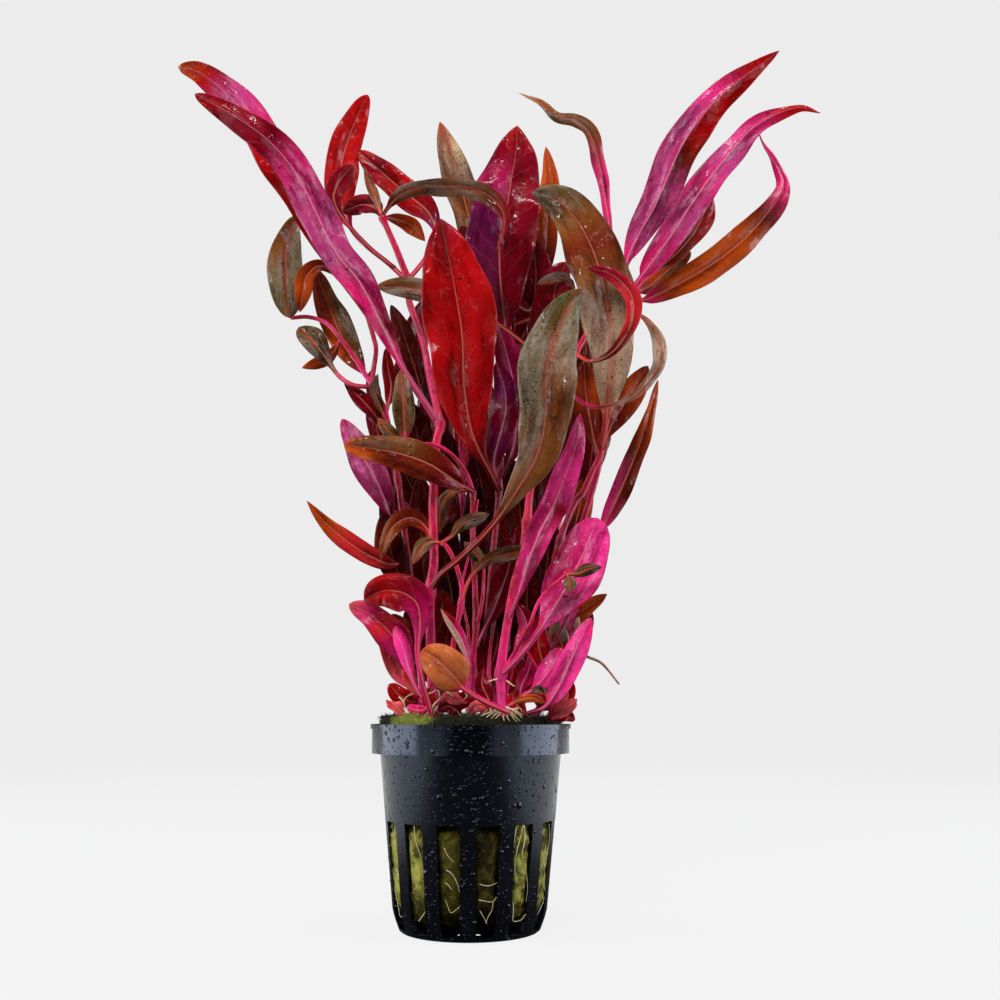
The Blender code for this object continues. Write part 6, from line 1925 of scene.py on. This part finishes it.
def build_roots():
    """Cream roots: tufts at the feet of the stems and strands over the wool"""
    wires = bpy.data.curves.new("roots", "CURVE")
    wires.dimensions = "3D"
    for route, thick in root_lines():
        fine, lengths = smooth_route(route)
        count = max(4, int(lengths[-1] / ROOT_ROW_MM))
        places, _ = along(fine, lengths, np.linspace(0, lengths[-1], count))
        spline = wires.splines.new("POLY")
        spline.points.add(count - 1)
        for n, place in enumerate(places):
            spline.points[n].co = (*(place * MM), 1.0)
            spline.points[n].radius = thick / 2 * MM * (1 - ROOT_LOSS * n / (count - 1))
    carrier = bpy.data.objects.new("roots_drawn", wires)
    tree = Growing("root_strands", (("Sides", "NodeSocketInt", 6),
                                    ("Material", "NodeSocketMaterial", None)))
    ring = tree.add("GeometryNodeCurvePrimitiveCircle",
                    {"Resolution": tree.given["Sides"], "Radius": 1.0})[0]
    radius = tree.add("GeometryNodeInputRadius")[0]
    skin = tree.add("GeometryNodeCurveToMesh", {"Curve": tree.given[0], "Profile Curve": ring,
                                                "Scale": radius, "Fill Caps": True})[0]
    tree.finish(skin)
    root = tuple(bpy.context.scene.pot_sizes.root)
    material = plain_material("young_root", root, ROOT_DARK, scale=260.0, rough=0.45)
    roots = tree.grow("young_roots", carrier, {"Material": material})
    bpy.data.objects.remove(carrier)
    settle_extra(roots)


WHITE = (1.0, 1.0, 1.0)
COOL = (0.88, 0.93, 1.0)
# Lights: place, the height on the pot's axis that they face, width and height, all in metres,
# the studio value with their power, their colour, and the kind of ray that misses them
Light = namedtuple("Light", "name place aim width height power colour unseen",
                   defaults=(WHITE, None))
LIGHTS = (
    Light("panel_left", (-0.56, 0.0, 0.24), 0.1, 0.66, 0.6, "side_power", COOL),
    Light("panel_right", (0.56, 0.0, 0.24), 0.1, 0.66, 0.6, "side_power", COOL),
    Light("panel_top", (0.0, -0.05, 0.75), 0.12, 0.5, 0.4, "top_power", WHITE, "glossy"),
    Light("front_high", (-0.15, -0.62, 0.60), 0.12, 0.4, 0.3, "front_power", WHITE, "glossy"),
    Light("front_glint", (-0.22, -0.5, 0.5), 0.13, 0.07, 0.07, "glint_power"),
    Light("strip_above", (0.05, -0.22, 0.62), 0.14, 0.5, 0.035, "strip_power", WHITE,
          "diffuse"),
)


def build_light(plan):
    light = bpy.data.lights.new(plan.name, "AREA")
    light.shape = "RECTANGLE"
    light.size = plan.width
    light.size_y = plan.height
    light.energy = getattr(bpy.context.scene.studio_values, plan.power)
    light.color = plan.colour
    lamp = add_object(plan.name, light)
    lamp.location = plan.place
    toward = Vector((0, 0, plan.aim)) - Vector(plan.place)
    lamp.rotation_euler = toward.to_track_quat("-Z", "Y").to_euler()
    if plan.unseen:
        setattr(lamp, "visible_" + plan.unseen, False)


# Grey of the world and of the floor for light that falls on the plant. The floor is dark in
# a wedge in front of the pot and bright at its sides, which shows in the wet plastic.
WORLD_GREY = 0.008
FLOOR_GLOW = 0.01
SIDE_GLOW = 0.95
SIDE_START = (0.06, 0.15)
DARK_WEDGE = 0.36
FLOOR_TINT = 0.045
FLOOR_RADIUS = 4.0


def eye_only(tree, seen, otherwise, socket):
    """Give a socket one grey for the eye and another for light that falls on the plant"""
    ray = tree.nodes.new("ShaderNodeLightPath")
    mix = tree.nodes.new("ShaderNodeMix")
    mix.data_type = "RGBA"
    if isinstance(otherwise, bpy.types.NodeSocket):
        tree.links.new(otherwise, mix.inputs[6])
    else:
        mix.inputs[6].default_value = (otherwise, otherwise, otherwise, 1.0)
    mix.inputs[7].default_value = (seen, seen, seen, 1.0)
    tree.links.new(ray.outputs["Is Camera Ray"], mix.inputs[0])
    tree.links.new(mix.outputs[2], socket)


def build_stage():
    """A pale floor and backdrop, panels of light at both sides, above and high in front"""
    values = bpy.context.scene.studio_values
    shape = bmesh.new()
    bmesh.ops.create_circle(shape, cap_ends=True, segments=96, radius=FLOOR_RADIUS)
    floor = add_object("floor", smooth_mesh(shape, "floor"))
    make = Shader("pale_floor")
    make.set(Base_Color=(FLOOR_TINT, FLOOR_TINT, FLOOR_TINT, 1.0), Roughness=0.9,
             Specular_IOR_Level=0.0, Emission_Strength=1.0)
    x, y, _ = make.split(make.place())
    ahead = make.times(make.math("MINIMUM", y, 0.0), DARK_WEDGE)
    beside = make.step(make.plus(make.math("ABSOLUTE", x), ahead), *SIDE_START,
                       FLOOR_GLOW, SIDE_GLOW)
    eye_only(make.tree, values.backdrop, beside, make.surface.inputs["Emission Color"])
    floor.data.materials.append(make.material)

    world = bpy.data.worlds.new("studio")
    bpy.context.scene.world = world
    world.use_nodes = True
    eye_only(world.node_tree, values.backdrop, WORLD_GREY,
             world.node_tree.nodes["Background"].inputs["Color"])

    for plan in LIGHTS:
        build_light(plan)

    camera = bpy.data.cameras.new("camera")
    camera.sensor_width = SENSOR
    camera.lens = SENSOR * FOCAL_PIXELS / PICTURE_SIZE
    camera.clip_start = 0.01
    seen_from = add_object("camera", camera)
    seen_from.location = EYE * MM
    seen_from.rotation_euler = (math.pi / 2 + EYE_TILT, 0.0, 0.0)
    bpy.context.scene.camera = seen_from
    bpy.context.scene.view_settings.view_transform = "Standard"
    bpy.context.scene.view_settings.look = "None"


class PLANT_OT_pot(bpy.types.Operator):
    """Add the slotted pot"""
    bl_idname = "plant.add_pot"
    bl_label = "Pot"

    def execute(self, context):
        build_pot()
        return {"FINISHED"}


class PLANT_OT_plug(bpy.types.Operator):
    """Add the wool plug with its loose fibres and its moss"""
    bl_idname = "plant.add_plug"
    bl_label = "Wool plug and moss"

    def execute(self, context):
        plug = build_plug()
        build_fibres(plug)
        build_moss(plug)
        return {"FINISHED"}


class PLANT_OT_roots(bpy.types.Operator):
    """Add the roots on the plug"""
    bl_idname = "plant.add_roots"
    bl_label = "Roots"

    def execute(self, context):
        build_roots()
        return {"FINISHED"}


class PLANT_OT_stems(bpy.types.Operator):
    """Add the stems with the small leaves at their joints"""
    bl_idname = "plant.add_stems"
    bl_label = "Stems"

    def execute(self, context):
        for name, pieces in STEMS.items():
            build_growth(name, pieces)
        return {"FINISHED"}


class PLANT_OT_leaves(bpy.types.Operator):
    """Add the large leaves"""
    bl_idname = "plant.add_leaves"
    bl_label = "Large leaves"

    def execute(self, context):
        for number, (name, plan) in enumerate(LEAVES.items()):
            build_leaf(name, plan, number)
        return {"FINISHED"}


class PLANT_OT_rosettes(bpy.types.Operator):
    """Add the low rosettes of young leaves"""
    bl_idname = "plant.add_rosettes"
    bl_label = "Young rosettes"

    def execute(self, context):
        for name, pieces in ROSETTES.items():
            build_growth(name, pieces)
        return {"FINISHED"}


class PLANT_OT_back_shoots(bpy.types.Operator):
    """Add the leafy shoots behind"""
    bl_idname = "plant.add_back_shoots"
    bl_label = "Back shoots"

    def execute(self, context):
        for name, pieces in BACK_SHOOTS.items():
            build_growth(name, pieces)
        return {"FINISHED"}


class PLANT_OT_stage(bpy.types.Operator):
    """Add the floor, the lights and the camera"""
    bl_idname = "plant.add_stage"
    bl_label = "Stage"

    def execute(self, context):
        build_stage()
        return {"FINISHED"}


OPERATORS = (PLANT_OT_pot, PLANT_OT_plug, PLANT_OT_roots, PLANT_OT_stems, PLANT_OT_leaves,
             PLANT_OT_rosettes, PLANT_OT_back_shoots, PLANT_OT_stage)
GROUPS = {"plant_sizes": PlantSizes, "plant_colours": PlantColours, "pot_sizes": PotSizes,
          "studio_values": StudioValues}


class PLANT_PT_parts(bpy.types.Panel):
    """Lists the parts of the plant and their values"""
    bl_label = "Potted plant"
    bl_idname = "PLANT_PT_parts"
    bl_space_type = "VIEW_3D"
    bl_region_type = "UI"
    bl_category = "Plant"

    def draw(self, context):
        for kind in OPERATORS:
            self.layout.operator(kind.bl_idname)
        for name, group in GROUPS.items():
            box = self.layout.box()
            for key in group.__annotations__:
                box.prop(getattr(context.scene, name), key)


def register():
    for kind in (*GROUPS.values(), *OPERATORS, PLANT_PT_parts):
        bpy.utils.register_class(kind)
    for name, group in GROUPS.items():
        setattr(bpy.types.Scene, name, bpy.props.PointerProperty(type=group))


def unregister():
    for name in GROUPS:
        delattr(bpy.types.Scene, name)
    for kind in reversed((*GROUPS.values(), *OPERATORS, PLANT_PT_parts)):
        bpy.utils.unregister_class(kind)


def main():
    register()
    for kind in OPERATORS:
        group, name = kind.bl_idname.split(".")
        getattr(getattr(bpy.ops, group), name)()


if __name__ == "__main__":
    main()
